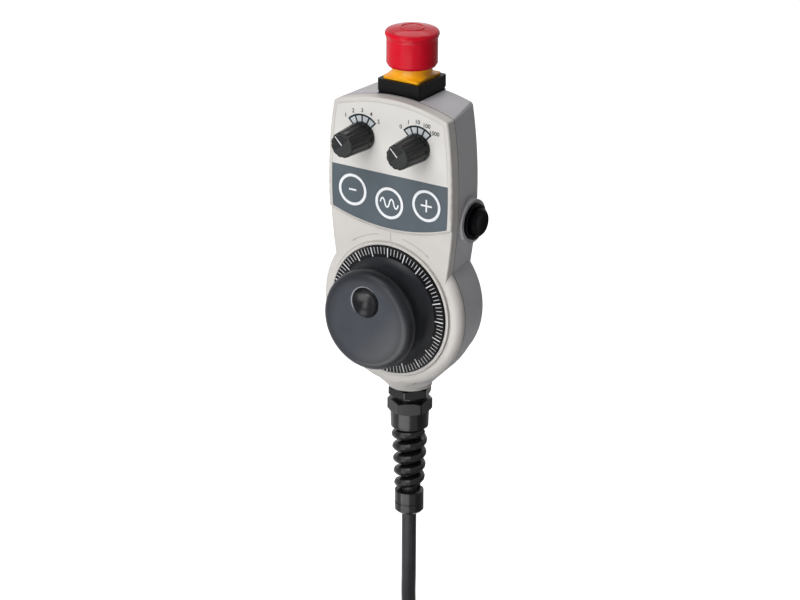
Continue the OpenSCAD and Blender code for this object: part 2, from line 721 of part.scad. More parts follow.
module selector_switch(s) color([0.25, 0.25, 0.27])
    forward() difference() {
        union() {
            post([s * selector_x, selector_z], switch_r, roof_d - switch_h, roof_d);
            post([s * selector_x, selector_z], switch_bush_r, roof_d - cut, panel_d + 2);
        }
        post([s * selector_x, selector_z], stem_r + fit, roof_d - switch_h + 1.8, panel_d + 3);
    }

module selector_nut(s) color([0.75, 0.75, 0.77])
    forward() translate([s * selector_x, selector_z, panel_d]) difference() {
        cylinder(r = switch_bush_r + 1.9, h = 2, $fn = 6);
        translate([0, 0, -cut]) cylinder(r = switch_bush_r + fit, h = 3);
    }

// ---------------------------------------------------------------- emergency stop

module rounded_square(w, r) {
    hull() for (x = [-1, 1], y = [-1, 1])
        translate([x * (w / 2 - r), y * (w / 2 - r)]) circle(r = r, $fn = 32);
}

module stop_gasket() color([0.08, 0.08, 0.09])
    on_core() translate([0, 0, stop_seat_z]) linear_extrude(stop_base_z - stop_seat_z) difference() {
        square(stop_base_w - 1, center = true);
        circle(r = stop_hole_r + set_gap);
    }

module stop_base() color([0.11, 0.11, 0.12])
    on_core() difference() {
        union() {
            translate([0, 0, stop_base_z]) linear_extrude(stop_foot_h + cut)
                square(stop_base_w - 2 * stop_foot_in, center = true);
            translate([0, 0, stop_base_z + stop_foot_h]) linear_extrude(stop_base_h - stop_foot_h)
                intersection() {
                    square(stop_base_w, center = true);
                    rotate(45) square(stop_base_w * sqrt(2) - 1.6, center = true);
                }
            translate([0, 0, stop_shank_z]) cylinder(r = stop_hole_r, h = stop_base_z - stop_shank_z + cut);
        }
        translate([0, 0, stop_shank_z - cut]) cylinder(r = stop_stem_r + 1.5, h = 3 * stop_base_h);
    }

module stop_collar() color([0.96, 0.66, 0.10])
    on_core() difference() {
        union() {
            translate([0, 0, stop_plate_z]) linear_extrude(stop_plate_h) rounded_square(stop_plate_w, 2);
            translate([0, 0, stop_neck_z - cut]) cylinder(r = stop_neck_r, h = stop_neck_h + cut);
            // foot that flares out to the edge of the plate
            intersection() {
                translate([0, 0, stop_neck_z]) union() {
                    cylinder(r1 = stop_neck_r + 2.8, r2 = stop_neck_r + 0.9, h = 0.8);
                    translate([0, 0, 0.8]) cylinder(r1 = stop_neck_r + 0.9, r2 = stop_neck_r, h = 1);
                }
                translate([0, 0, stop_plate_z]) linear_extrude(stop_neck_h) rounded_square(stop_plate_w, 2);
            }
        }
        translate([0, 0, stop_plate_z - cut]) cylinder(r = stop_stem_r + run_gap, h = stop_neck_h + 3 * wall);
    }

// Red mushroom cap: a chamfered skirt, a slightly flared body and a domed top with a fine ring.
module stop_cap() color([0.80, 0.06, 0.14])
    on_core() difference() {
        translate([0, 0, stop_cap_z]) {
            h = stop_cap_h;
            rotate_extrude() {
                polygon([[0, 0], [stop_cap_r - 0.9, 0], [stop_cap_r, 1.6], [stop_cap_r, h - 7],
                    [stop_rim_r, h - 3.8], [stop_rim_r - 2, h - 3.8], [0, h - 3.8]]);
                translate([stop_rim_r - 2, h - 3.8]) circle(r = 2, $fn = 48);
                translate([0, h - 4]) square([stop_rim_r - 2, 2.2]);
                intersection() {
                    translate([0, h - 60]) circle(r = 60, $fn = 240);
                    translate([0, h - 4]) square([stop_rim_r - 2, 5]);
                }
                translate([6.3, h - 1]) square([1, 0.95]);
            }
        }
        // hollow that slips over the yellow neck, and the socket of the plunger
        translate([0, 0, stop_cap_z - cut]) cylinder(r = stop_neck_r + stop_gap, h = 5 + cut);
        translate([0, 0, stop_cap_z]) cylinder(r = stop_stem_r + fit, h = stop_cap_h - 6);
    }

module stop_plunger() color([0.20, 0.20, 0.22])
    on_core() translate([0, 0, stop_shank_z + 5])
        cylinder(r = stop_stem_r, h = stop_cap_z + stop_cap_h - 6.2 - stop_shank_z - 5);

// Slotted ring nut under the crown; it fills the room in front of the rear wall.
module stop_nut() color([0.20, 0.20, 0.22])
    on_core() translate([0, 0, stop_nut_z]) difference() {
        cylinder(r = stop_nut_r, h = stop_nut_h);
        translate([0, 0, -cut]) cylinder(r = stop_hole_r + fit, h = stop_nut_h + 2 * cut);
        for (a = [0, 90]) rotate(a)
            translate([-2 * stop_nut_r, -1.5, -cut]) cube([4 * stop_nut_r, 3, 1 + cut]);
    }

module stop_contacts() color([0.25, 0.25, 0.27])
    on_core() translate([0, 0, stop_shank_z - block_h]) difference() {
        translate([-block_w / 2, -block_t / 2, 0]) cube([block_w, block_t, block_h]);
        translate([0, 0, block_h - block_bore_h]) cylinder(r = stop_stem_r + 1.5, h = block_bore_h + cut);
    }

// ---------------------------------------------------------------- enabling buttons

// Places a shape with its z axis pointing out of the right (1) or left (-1) side.
module on_side(s) translate([0, -core_d, enable_z]) rotate([0, s * 90, 0]) children();

module enable_collar(s) color([0.09, 0.09, 0.10])
    on_side(s) difference() {
        union() {
            translate([0, 0, enable_boss_x]) cylinder(r = enable_collar_r, h = enable_collar_h - 0.6);
            translate([0, 0, enable_face_x - 0.6])
                cylinder(r1 = enable_collar_r, r2 = enable_collar_r - 0.6, h = 0.6);
            translate([0, 0, enable_boss_x - enable_sleeve_h])
                cylinder(r = enable_sleeve_r, h = enable_sleeve_h + cut);
        }
        translate([0, 0, enable_boss_x - enable_sleeve_h - cut])
            cylinder(r = enable_r + run_gap, h = enable_sleeve_h + enable_collar_h + 2 * cut);
    }

module enable_cap(s) color([0.07, 0.07, 0.08])
    on_side(s) difference() {
        union() {
            translate([0, 0, enable_boss_x - 3]) cylinder(r = enable_r, h = enable_collar_h + enable_h + 1.8);
            translate([0, 0, enable_face_x + enable_h - 1.2])
                cylinder(r1 = enable_r, r2 = enable_r - 1.2, h = 1.2);
            translate([0, 0, enable_boss_x - 3 - enable_stem_h])
                cylinder(r = enable_stem_r, h = enable_stem_h + cut);
        }
        translate([0, 0, enable_face_x + enable_h + 39.6]) sphere(r = 40, $fn = 120);
    }

module enable_switch(s) color([0.25, 0.25, 0.27])
    on_side(s) difference() {
        translate([-enable_switch_w / 2, -enable_switch_w / 2, enable_switch_x])
            cube([enable_switch_w, enable_switch_w, enable_switch_t]);
        translate([0, 0, enable_boss_x - 3 - enable_stem_h - enable_travel - clear])
            cylinder(r = enable_stem_r + fit, h = enable_switch_t);
    }

// ---------------------------------------------------------------- gland

module gland_locknut() color([0.16, 0.16, 0.17])
    on_core() translate([0, 0, -throat_z + wall]) difference() {
        cylinder(r = throat_r - 1, h = 3);
        translate([0, 0, -cut]) cylinder(r = thread_r + fit, h = 4);
        for (a = [0, 90]) rotate(a) translate([-2 * throat_r, -1.2, 1.8]) cube([4 * throat_r, 2.4, 2]);
    }

module gland_seal() color([0.08, 0.08, 0.09])
    on_core() translate([0, 0, gland_hex_z]) ring(throat_r - 1, thread_r + fit, gland_seal_t);

module gland_body() color([0.17, 0.17, 0.18])
    on_core() difference() {
        union() {
            translate([0, 0, gland_hex_z - gland_hex_h]) rotate(body_turn)
                hexagon(gland_af, gland_hex_h);
            translate([0, 0, gland_hex_z - cut]) cylinder(r = thread_r, h = gland_seal_t + wall + 6 + cut);
            translate([0, 0, nut_z - 5]) cylinder(r = thread_r - 0.6, h = gland_hex_z - nut_z + 5 - 1);
        }
        translate([0, 0, nut_z - 6]) cylinder(r = gland_bore_r + 1.5, h = 20);
    }

module gland_insert() color([0.05, 0.05, 0.06])
    on_core() translate([0, 0, cone_z + 0.6]) ring(gland_bore_r + 1.3, cable_d / 2, 7);

module gland_nut() color([0.17, 0.17, 0.18])
    on_core() difference() {
        union() {
            translate([0, 0, cone_z]) rotate(nut_turn) hexagon(nut_af, nut_hex_h);
            translate([0, 0, spiral_z]) cylinder(r1 = spiral_r + 0.2, r2 = nut_cone_r, h = nut_cone_h + cut);
        }
        translate([0, 0, spiral_z - cut]) cylinder(r = gland_bore_r, h = 30);
        translate([0, 0, cone_z + 0.5]) cylinder(r = thread_r - 0.6 + fit, h = 30);
    }

// Radius of the spiral's outside at a share u of its length.
function spiral_out(u) = spiral_r + (sleeve_r + 0.3 - spiral_r) * u;

// One cross-section of the rib: a bead that is broad at the cable and rounded outside.
function rib_profile(u) = let (o = spiral_out(u), i = gland_bore_r + 0.2, h = spiral_rib / 2)
    [[i, -h], [o - 3.2, -h * 0.9], [o - 1.3, -h * 0.66], [o - 0.25, -h * 0.3], [o, 0], [o - 0.25, h * 0.3],
     [o - 1.3, h * 0.66], [o - 3.2, h * 0.9], [i, h]];

module bend_relief() color([0.17, 0.17, 0.18]) {
    steps = ceil(spiral_turns * 20);
    sides = len(rib_profile(0));
    points = [for (k = [0 : steps])
        let (u = k / steps, a = -360 * spiral_turns * u, z = spiral_z - spiral_rib / 2 - spiral_h * u)
            for (q = rib_profile(u)) [q[0] * cos(a), q[0] * sin(a), z + q[1]]];
    faces = concat(
        [[for (j = [0 : sides - 1]) j]],
        [[for (j = [sides - 1 : -1 : 0]) steps * sides + j]],
        [for (k = [0 : steps - 1], j = [0 : sides - 1])
            let (a = k * sides + j, b = k * sides + (j + 1) % sides) [a, a + sides, b + sides, b]]);
    on_core() {
        polyhedron(points = points, faces = faces, convexity = 10);
        translate([0, 0, spiral_z - 1]) ring(spiral_r + 0.2, gland_bore_r, 1);
        translate([0, 0, cable_z]) difference() {
            union() {
                cylinder(r1 = sleeve_r - sleeve_edge, r2 = sleeve_r, h = sleeve_edge);
                translate([0, 0, sleeve_edge]) cylinder(r = sleeve_r, h = sleeve_h - sleeve_edge + 1);
            }
            translate([0, 0, sleeve_h / 2 - sleeve_groove])
                ring(sleeve_r + cut, sleeve_r - sleeve_groove, 2 * sleeve_groove);
            translate([0, 0, -cut]) cylinder(r = gland_bore_r - 0.2, h = sleeve_h + spiral_rib);
        }
    }
}

// ---------------------------------------------------------------- cable

module cable_core() color([0.08, 0.08, 0.09])
    on_core() translate([0, 0, cable_z]) cylinder(d = cable_d, h = nut_z - cable_z + 8);

// Route of the cable from the sleeve to the coil, and from the coil to the plug.
lead_route = [[0, -core_d, cable_z], [0, -17, -155], [0, -17, -170], [0, -17, -185], [0, -17, -200],
    [1, -17, -210], [5, -17, -220], [12, -17, -228], [20, -17, -235], [30, -17, -239], [40, -17, -240]];
coil_at = [40, -85];
coil_turn_r = 54.5;    // middle radius of the turns
coil_rows = [4, 2];    // turns side by side and on top of each other
coil_low_z = -253.5;   // level of the coil's underside
tie_t = 0.8;           // thickness of the tie around the coil
tail_route = [[17, -149, -249], [4, -146, -249], [-8, -142, -248], [-20, -136, -247], [-31, -127, -246],
    [-39, -116, -244], [-44, -105, -243], [-46, -95, -242], [-46, -88, -242]];

module tube(route, d) {
    sides = 10;
    n = len(route);
    dirs = [for (i = [0 : n - 1]) let (v = route[min(i + 1, n - 1)] - route[max(i - 1, 0)]) v / norm(v)];
    side_of = [for (i = [0 : n - 1]) let (v = cross(dirs[i], [0, 1, 0.2])) v / norm(v)];
    points = [for (i = [0 : n - 1]) let (a = side_of[i], b = cross(dirs[i], a)) for (j = [0 : sides - 1])
        route[i] + d / 2 * (a * cos(j * 360 / sides) + b * sin(j * 360 / sides))];
    faces = concat(
        [[for (j = [sides - 1 : -1 : 0]) j]],
        [[for (j = [0 : sides - 1]) (n - 1) * sides + j]],
        [for (i = [0 : n - 2], j = [0 : sides - 1]) let (a = i * sides + j, b = i * sides + (j + 1) % sides)
            [a, b, b + sides, a + sides]]);
    polyhedron(points = points, faces = faces, convexity = 4);
}

module cable_lead() color([0.08, 0.08, 0.09]) tube(lead_route, cable_d);

module cable_tail() color([0.08, 0.08, 0.09]) tube(tail_route, cable_d);

module cable_coil() color([0.08, 0.08, 0.09]) {
    w = coil_rows[0] * cable_d;
    h = coil_rows[1] * cable_d;
    translate([coil_at[0], coil_at[1], coil_low_z]) rotate_extrude() translate([coil_turn_r - w / 2, 0]) {
        translate([cable_d / 2, 0]) square([w - cable_d, h]);
        translate([0, cable_d / 2]) square([w, h - cable_d]);
        for (x = [cable_d / 2, w - cable_d / 2], y = [cable_d / 2, h - cable_d / 2])
            translate([x, y]) circle(d = cable_d, $fn = 32);
    }
}

module coil_tie() color([0.12, 0.12, 0.13]) {
    w = coil_rows[0] * cable_d;
    h = coil_rows[1] * cable_d;
    translate([coil_at[0], coil_at[1], coil_low_z]) rotate(20)
        translate([coil_turn_r, -7, 0]) rotate([-90, 0, 0]) linear_extrude(14) difference() {
            translate([-w / 2 - 2, -h - tie_t]) square([w + 4, h + 2 * tie_t]);
            translate([-w / 2 - 1, -h]) square([w + 2, h]);
        }
}

// ---------------------------------------------------------------- plug

// Places a shape with its z axis pointing out of the plug's mouth.
module on_plug() translate(tail_route[len(tail_route) - 1]) rotate([-90, 0, 0]) children();

plug_r = 11.4;

module plug_body() color([0.72, 0.73, 0.75])
    on_plug() difference() {
        union() {
            cylinder(r1 = 7.5, r2 = 8.5, h = 6);
            translate([0, 0, 6]) cylinder(d = 19 / cos(30), h = 7, $fn = 6);
            translate([0, 0, 13]) cylinder(r = 10, h = 30);
        }
        translate([0, 0, 14]) cylinder(r = 8.6, h = 30);
    }

module plug_ring() color([0.72, 0.73, 0.75])
    on_plug() translate([0, 0, 26]) difference() {
        cylinder(r = plug_r, h = 22);
        translate([0, 0, -cut]) cylinder(r = 10 + fit, h = 24);
        for (i = [0 : 23]) rotate(i * 15)
            translate([plug_r + 0.25, 0, 2]) cylinder(r = 0.7, h = 12, $fn = 12);
    }

module plug_insert() color([0.15, 0.15, 0.16])
    on_plug() {
        translate([0, 0, 14]) cylinder(r = 8.5, h = 16);
        for (i = [0 : 7]) rotate(i * 45) translate([5.6, 0, 29]) cylinder(r = 0.5, h = 10, $fn = 16);
    }

// ---------------------------------------------------------------- assembly

rear_shell();
front_shell();
housing_seal();
panel_foil();
key_band();
key(0);  // key_minus
key(1);  // key_rapid
key(2);  // key_plus
keypad_board();
handwheel_knob();
scale_dial();
handwheel_shaft();
encoder_body();
encoder_nut();
selector_knob(-1);  // axis_knob
selector_mark(-1);  // axis_mark
selector_shaft(-1);  // axis_shaft
selector_switch(-1);  // axis_switch
selector_nut(-1);  // axis_nut
selector_knob(1);  // step_knob
selector_mark(1);  // step_mark
selector_shaft(1);  // step_shaft
selector_switch(1);  // step_switch
selector_nut(1);  // step_nut
stop_gasket();
stop_base();
stop_collar();
stop_cap();
stop_plunger();
stop_nut();
stop_contacts();
enable_cap(1);  // enable_right_cap
enable_collar(1);  // enable_right_collar
enable_switch(1);  // enable_right_switch
enable_cap(-1);  // enable_left_cap
enable_collar(-1);  // enable_left_collar
enable_switch(-1);  // enable_left_switch
main_board();
gland_locknut();
gland_seal();
gland_body();
gland_insert();
gland_nut();
bend_relief();
cable_core();
cable_lead();
cable_coil();
cable_tail();
coil_tie();
plug_body();
plug_ring();
plug_insert();
housing_screw(0);  // housing_screw_1
housing_screw(1);  // housing_screw_2
housing_screw(2);  // housing_screw_3
housing_screw(3);  // housing_screw_4
magnet(0);  // magnet_1
magnet(1);  // magnet_2
magnet(2);  // magnet_3
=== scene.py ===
"""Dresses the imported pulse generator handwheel: camera, cable, finishes, printed scales, lights, floor."""

import json
import math

import bmesh
import bpy
from mathutils import Matrix, Vector
from mathutils.bvhtree import BVHTree


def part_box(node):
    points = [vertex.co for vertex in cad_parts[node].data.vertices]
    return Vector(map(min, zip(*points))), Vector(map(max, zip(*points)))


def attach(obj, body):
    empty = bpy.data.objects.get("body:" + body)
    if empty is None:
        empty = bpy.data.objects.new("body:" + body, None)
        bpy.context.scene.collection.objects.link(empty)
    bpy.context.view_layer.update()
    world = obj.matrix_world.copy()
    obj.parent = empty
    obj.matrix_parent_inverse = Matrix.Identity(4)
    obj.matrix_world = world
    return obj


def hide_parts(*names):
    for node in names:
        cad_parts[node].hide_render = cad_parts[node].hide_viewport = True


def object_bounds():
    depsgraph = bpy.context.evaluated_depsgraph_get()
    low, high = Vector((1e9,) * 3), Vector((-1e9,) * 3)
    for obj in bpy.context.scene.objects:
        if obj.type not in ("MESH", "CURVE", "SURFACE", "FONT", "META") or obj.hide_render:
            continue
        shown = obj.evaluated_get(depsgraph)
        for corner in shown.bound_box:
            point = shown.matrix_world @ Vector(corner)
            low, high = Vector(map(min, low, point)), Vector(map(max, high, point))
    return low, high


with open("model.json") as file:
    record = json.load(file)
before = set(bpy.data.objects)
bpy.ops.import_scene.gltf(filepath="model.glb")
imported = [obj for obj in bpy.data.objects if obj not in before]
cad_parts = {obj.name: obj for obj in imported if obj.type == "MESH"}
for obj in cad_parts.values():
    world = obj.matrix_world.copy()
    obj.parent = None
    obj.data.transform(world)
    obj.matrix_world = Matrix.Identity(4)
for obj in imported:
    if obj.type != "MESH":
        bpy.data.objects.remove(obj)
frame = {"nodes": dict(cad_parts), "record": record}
CAD_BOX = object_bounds()
NODES = frame["nodes"]
BODY_OF = {n: b for b, members in frame["record"]["behaviour"]["bodies"].items() for n in members}
# The part's sizes and places are in millimetres; MM turns them into Blender's metres.
MM = 0.001


def link(obj):
    bpy.context.scene.collection.objects.link(obj)
    return obj


def object_from(bm, name):
    """New object with the mesh that was built in bm."""
    mesh = bpy.data.meshes.new(name)
    bm.to_mesh(mesh)
    bm.free()
    return link(bpy.data.objects.new(name, mesh))


def middle(node):
    lo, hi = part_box(node)
    return (lo + hi) / 2


# How far out ray casts start, in metres: to the side of the housing, and in front of the part.
FAR_SIDE, FAR_FRONT = 0.08, 0.3


def tree_of(node):
    """Search tree of a CAD node's surface, for ray casts."""
    return BVHTree.FromObject(NODES[node], bpy.context.evaluated_depsgraph_get())


def direction(azimuth, elevation):
    """Unit vector away from the part; azimuth in degrees from the front towards the right."""
    a, e = math.radians(azimuth), math.radians(elevation)
    return Vector((math.sin(a) * math.cos(e), -math.cos(a) * math.cos(e), math.sin(e)))


def ease(u):
    """Smooth run from 0 to 1."""
    return u * u * (3 - 2 * u)


# ---------------------------------------------------------------- camera


# Angles in degrees, and the distance to the target in metres.
CAMERA_AZIMUTH, CAMERA_ELEVATION, CAMERA_ROLL = 33.07, 21.28, 0.32
CAMERA_DISTANCE = 2.314
CAMERA_TARGET_MM = (6.36, -38.4, 6.46)
LENS, SENSOR_WIDTH, CLIP_END = 174.1, 36, 20


def add_camera():
    """Long lens from the front right, a little above the part."""
    back = direction(CAMERA_AZIMUTH, CAMERA_ELEVATION)
    data = bpy.data.cameras.new("camera")
    data.sensor_width = SENSOR_WIDTH
    data.lens = LENS
    data.clip_end = CLIP_END
    camera = link(bpy.data.objects.new("camera", data))
    roll = Matrix.Rotation(math.radians(CAMERA_ROLL), 3, "Z")
    turn = (-back).to_track_quat("-Z", "Y").to_matrix() @ roll
    place = Vector(CAMERA_TARGET_MM) * MM + CAMERA_DISTANCE * back
    camera.matrix_world = Matrix.Translation(place) @ turn.to_4x4()
    bpy.context.scene.camera = camera


add_camera()


# ---------------------------------------------------------------- tools for materials


MATERIALS = {}


class Graph:
    """Short hand for building a material's nodes."""

    def __init__(self, name):
        self.material = bpy.data.materials.new(name)
        self.material.use_nodes = True
        self.tree = self.material.node_tree
        self.shader = self.tree.nodes["Principled BSDF"]
        self.place = self.add("ShaderNodeTexCoord").outputs["Object"]
        MATERIALS[name] = self.material

    def add(self, kind, **values):
        """New node; a value goes to the socket of that name, or else to the node's own setting."""
        node = self.tree.nodes.new(kind)
        for key, value in values.items():
            if key in node.inputs:
                node.inputs[key].default_value = value
            else:
                setattr(node, key, value)
        return node

    def join(self, source, node, socket):
        self.tree.links.new(source, node.inputs[socket])

    def set(self, **values):
        """Constants on the shader; an underscore stands for a space in the socket's name."""
        for key, value in values.items():
            self.shader.inputs[key.replace("_", " ")].default_value = value

    def finish(self, colour, roughness, normal):
        self.join(colour, self.shader, "Base Color")
        self.join(roughness, self.shader, "Roughness")
        self.join(normal, self.shader, "Normal")

    def noise(self, size_mm, detail=2.0):
        """Noise whose features are about size_mm across."""
        n = self.add("ShaderNodeTexNoise", Scale=1000.0 / size_mm, Detail=detail, Roughness=0.5)
        self.join(self.place, n, "Vector")
        return n.outputs["Fac"]

    def map_range(self, value, from_min, from_max, to_min=0.0, to_max=1.0, kind="LINEAR"):
        m = self.add("ShaderNodeMapRange", interpolation_type=kind)
        m.inputs["From Min"].default_value = from_min
        m.inputs["From Max"].default_value = from_max
        m.inputs["To Min"].default_value = to_min
        m.inputs["To Max"].default_value = to_max
        self.join(value, m, "Value")
        return m.outputs["Result"]

    def spread(self, fac, low, high):
        """Maps the middle of a noise to the range low..high."""
        return self.map_range(fac, 0.3, 0.7, low, high)

    def ramp(self, value, full, none):
        """1 where value has reached full and 0 where it has reached none, with a smooth change between."""
        return self.map_range(value, none, full, kind="SMOOTHSTEP")

    def mix(self, fac, a, b):
        """Colour between a and b, each a tuple or a socket."""
        m = self.add("ShaderNodeMix", data_type="RGBA")
        self.join(fac, m, "Factor")
        for socket, value in ((6, a), (7, b)):
            if isinstance(value, tuple):
                m.inputs[socket].default_value = (*value, 1)
            else:
                self.tree.links.new(value, m.inputs[socket])
        return m.outputs[2]

    def tint(self, colour, fac, share, other):
        """Colour with up to share of other mixed in where fac is 1."""
        return self.mix(self.math("MULTIPLY", fac, share), colour, other)

    def math(self, operation, *values):
        """Math node; a value is a number or a socket."""
        m = self.add("ShaderNodeMath", operation=operation)
        for socket, value in zip(m.inputs, values):
            if isinstance(value, (int, float)):
                socket.default_value = value
            else:
                self.tree.links.new(value, socket)
        return m.outputs["Value"]

    def distance(self, a, b):
        """Distance from the origin of a point (a, b)."""
        squares = [self.math("MULTIPLY", v, v) for v in (a, b)]
        return self.math("SQRT", self.math("ADD", *squares))

    def axes(self):
        """The three coordinates of the shaded point, in millimetres."""
        parts = self.add("ShaderNodeSeparateXYZ")
        self.join(self.place, parts, "Vector")
        return [self.math("MULTIPLY", parts.outputs[i], 1 / MM) for i in range(3)]

    def bump(self, height, strength, distance_mm, normal=None):
        b = self.add("ShaderNodeBump", Strength=strength, Distance=distance_mm * MM)
        self.join(height, b, "Height")
        if normal is not None:
            self.join(normal, b, "Normal")
        return b.outputs["Normal"]

    def edge(self, radius_mm):
        """Normal with the edges rounded."""
        return self.add("ShaderNodeBevel", samples=4, Radius=radius_mm * MM).outputs["Normal"]

    def edge_share(self, bevel):
        """About 1 on a sharp edge and 0 on a flat face."""
        geometry = self.add("ShaderNodeNewGeometry").outputs["Normal"]
        dot = self.add("ShaderNodeVectorMath", operation="DOT_PRODUCT")
        self.tree.links.new(bevel, dot.inputs[0])
        self.tree.links.new(geometry, dot.inputs[1])
        return self.map_range(dot.outputs["Value"], 0.995, 0.8)


def shade(color, share):
    """Colour made lighter or darker by share."""
    return tuple(min(1, c * (1 + share)) for c in color)


# Sizes in millimetres of a plastic's uneven colour, rubbed patches and uneven gloss.
MOTTLE_MM, RUBBED_MM, GLOSS_MM = 14, 3, 6


def plastic(
    name, color, rough, grain=0.35, grain_mm=0.5, mottle=0.04, specular=0.5, ior=1.5, edge_mm=0.25,
    wear=0.25, scatter=0.0, scatter_mm=0.6, details=None,
):
    """Moulded plastic or rubber: eroded grain, slight mottle, softly rounded and slightly rubbed edges.

    details(graph, colour, roughness) may change the colour and the roughness where the piece differs.
    """
    g = Graph(name)
    g.set(Specular_IOR_Level=specular, IOR=ior)
    if scatter:
        g.set(
            Subsurface_Weight=scatter, Subsurface_Radius=(1.0, 0.3, 0.2), Subsurface_Scale=scatter_mm * MM,
        )
    bevel = g.edge(edge_mm)
    patches = g.spread(g.noise(MOTTLE_MM, detail=4), 0, 1)
    body = g.mix(patches, shade(color, -mottle), shade(color, mottle))
    rubbed = tuple(min(1, c + (1 - c) * 0.4 * wear) for c in color)
    rubbing = g.math("MULTIPLY", g.edge_share(bevel), g.spread(g.noise(RUBBED_MM, detail=3), 0, wear))
    colour = g.mix(rubbing, body, rubbed)
    roughness = g.spread(g.noise(GLOSS_MM, detail=3), rough * 0.88, rough * 1.12)
    if details:
        colour, roughness = details(g, colour, roughness)
    g.finish(colour, roughness, g.bump(g.noise(grain_mm), grain, 0.05, bevel))


def ink(name, color, mottle=0.03, specular=0.2):
    """Screen printing: matt, with hardly any relief."""
    plastic(name, color, 0.5, grain=0.1, mottle=mottle, wear=0.0, edge_mm=0.03, specular=specular)


def metal(name, color, rough, grain_mm=0.6):
    """Cast or turned metal with fine grain."""
    g = Graph(name)
    g.set(Metallic=1.0)
    colour = g.mix(g.spread(g.noise(4, detail=4), 0, 1), shade(color, -0.14), color)
    roughness = g.spread(g.noise(grain_mm * 3, detail=3), rough * 0.7, rough * 1.3)
    g.finish(colour, roughness, g.bump(g.noise(grain_mm), 0.2, 0.03, g.edge(0.2)))


def board(name):
    """Solder mask with faint copper tracks under it."""
    g = Graph(name)
    brick = g.add("ShaderNodeTexBrick", Scale=300.0)
    brick.inputs["Color1"].default_value = (0.01, 0.09, 0.035, 1)
    brick.inputs["Color2"].default_value = (0.012, 0.10, 0.04, 1)
    brick.inputs["Mortar"].default_value = (0.03, 0.19, 0.07, 1)
    brick.inputs["Mortar Size"].default_value = 0.06
    g.join(g.place, brick, "Vector")
    tracks = g.bump(brick.outputs["Fac"], 0.3, 0.03, g.edge(0.1))
    g.finish(brick.outputs["Color"], g.spread(g.noise(4), 0.25, 0.4), tracks)


def cable_jacket(name):
    """Extruded rubber: slightly uneven black with a fine grain and a dull sheen."""
    g = Graph(name)
    g.set(IOR=1.3)
    colour = g.mix(g.spread(g.noise(9, detail=4), 0, 1), (0.018, 0.018, 0.021), (0.026, 0.026, 0.030))
    g.finish(colour, g.spread(g.noise(3, detail=3), 0.3, 0.42), g.bump(g.noise(0.5, detail=3), 0.25, 0.05))


def woven(name, color):
    """Hook-and-loop band: a coarse pile of short loops."""
    g = Graph(name)
    g.set(Sheen_Weight=0.4, Sheen_Roughness=0.5)
    loops = g.add("ShaderNodeTexVoronoi", Scale=1400.0)
    g.join(g.place, loops, "Vector")
    pile = loops.outputs["Distance"]
    colour = g.mix(pile, tuple(c * 2.2 for c in color), color)
    g.finish(colour, g.spread(g.noise(2, detail=3), 0.85, 0.98), g.bump(pile, 0.8, 0.3))


# ---------------------------------------------------------------- places that differ on one piece


# Shadow gap between the shells, counted from the front shell's rear, whose inside gets painted shade, and the
# neck above the gland, which keeps the shells' own light colour instead of the rear shell's painted shade.
GAP_FROM, GAP_TO = -0.02, 0.46
GAP_SHADE = (0.012, 0.012, 0.013)
NECK_Z, NECK_FADE = -50.0, 3.0
NECK_LIGHT = (0.640, 0.615, 0.590)


def joint_gap(g, colour, roughness):
    """Painted shade inside the shells' shadow gap, and the neck above the gland as light as the front."""
    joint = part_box("front_shell")[1].y / MM
    _, depth, height = g.axes()
    behind = g.math("GREATER_THAN", depth, joint + GAP_FROM)
    before = g.math("LESS_THAN", depth, joint + GAP_TO)
    neck = g.ramp(height, NECK_Z, NECK_Z + NECK_FADE)
    # Painted shade: the inside of the gap turns near black, except on the neck.
    inside = g.math("MULTIPLY", g.math("MULTIPLY", behind, before), g.math("SUBTRACT", 1.0, neck))
    return g.mix(inside, g.mix(neck, colour, NECK_LIGHT), GAP_SHADE), roughness


# Handwheel: middle and radius of its finger dimple, with the reach of its painted rim highlight inwards and
# outwards and half of the rim's full width; radii between which the face darkens outwards with painted shade;
# the depth behind the face at which the painted shade on the waist is darkest; and how far to the lower right
# the painted highlight on the face begins and is full.
DIMPLE_Z, DIMPLE_R = 12.5, 9.7
RIM_IN, RIM_OUT, RIM_CORE = 0.5, 0.4, 0.1
FACE_R, EDGE_R = 20.5, 29.5
WAIST_DEPTH = 3.2
FACE_HIGHLIGHT_FROM, FACE_HIGHLIGHT_TO = 6.0, 34.0
FACE_HIGHLIGHT_SHARE, WAIST_SHADE_SHARE, EDGE_SHADE_SHARE = 0.5, 0.75, 0.72
FACE_HIGHLIGHT_GREY = (0.120, 0.120, 0.121)
WAIST_SHADE = (0.008, 0.009, 0.012)
DIMPLE_BLACK = (0.006, 0.006, 0.008)
RIM_HIGHLIGHT = (0.42, 0.42, 0.45)


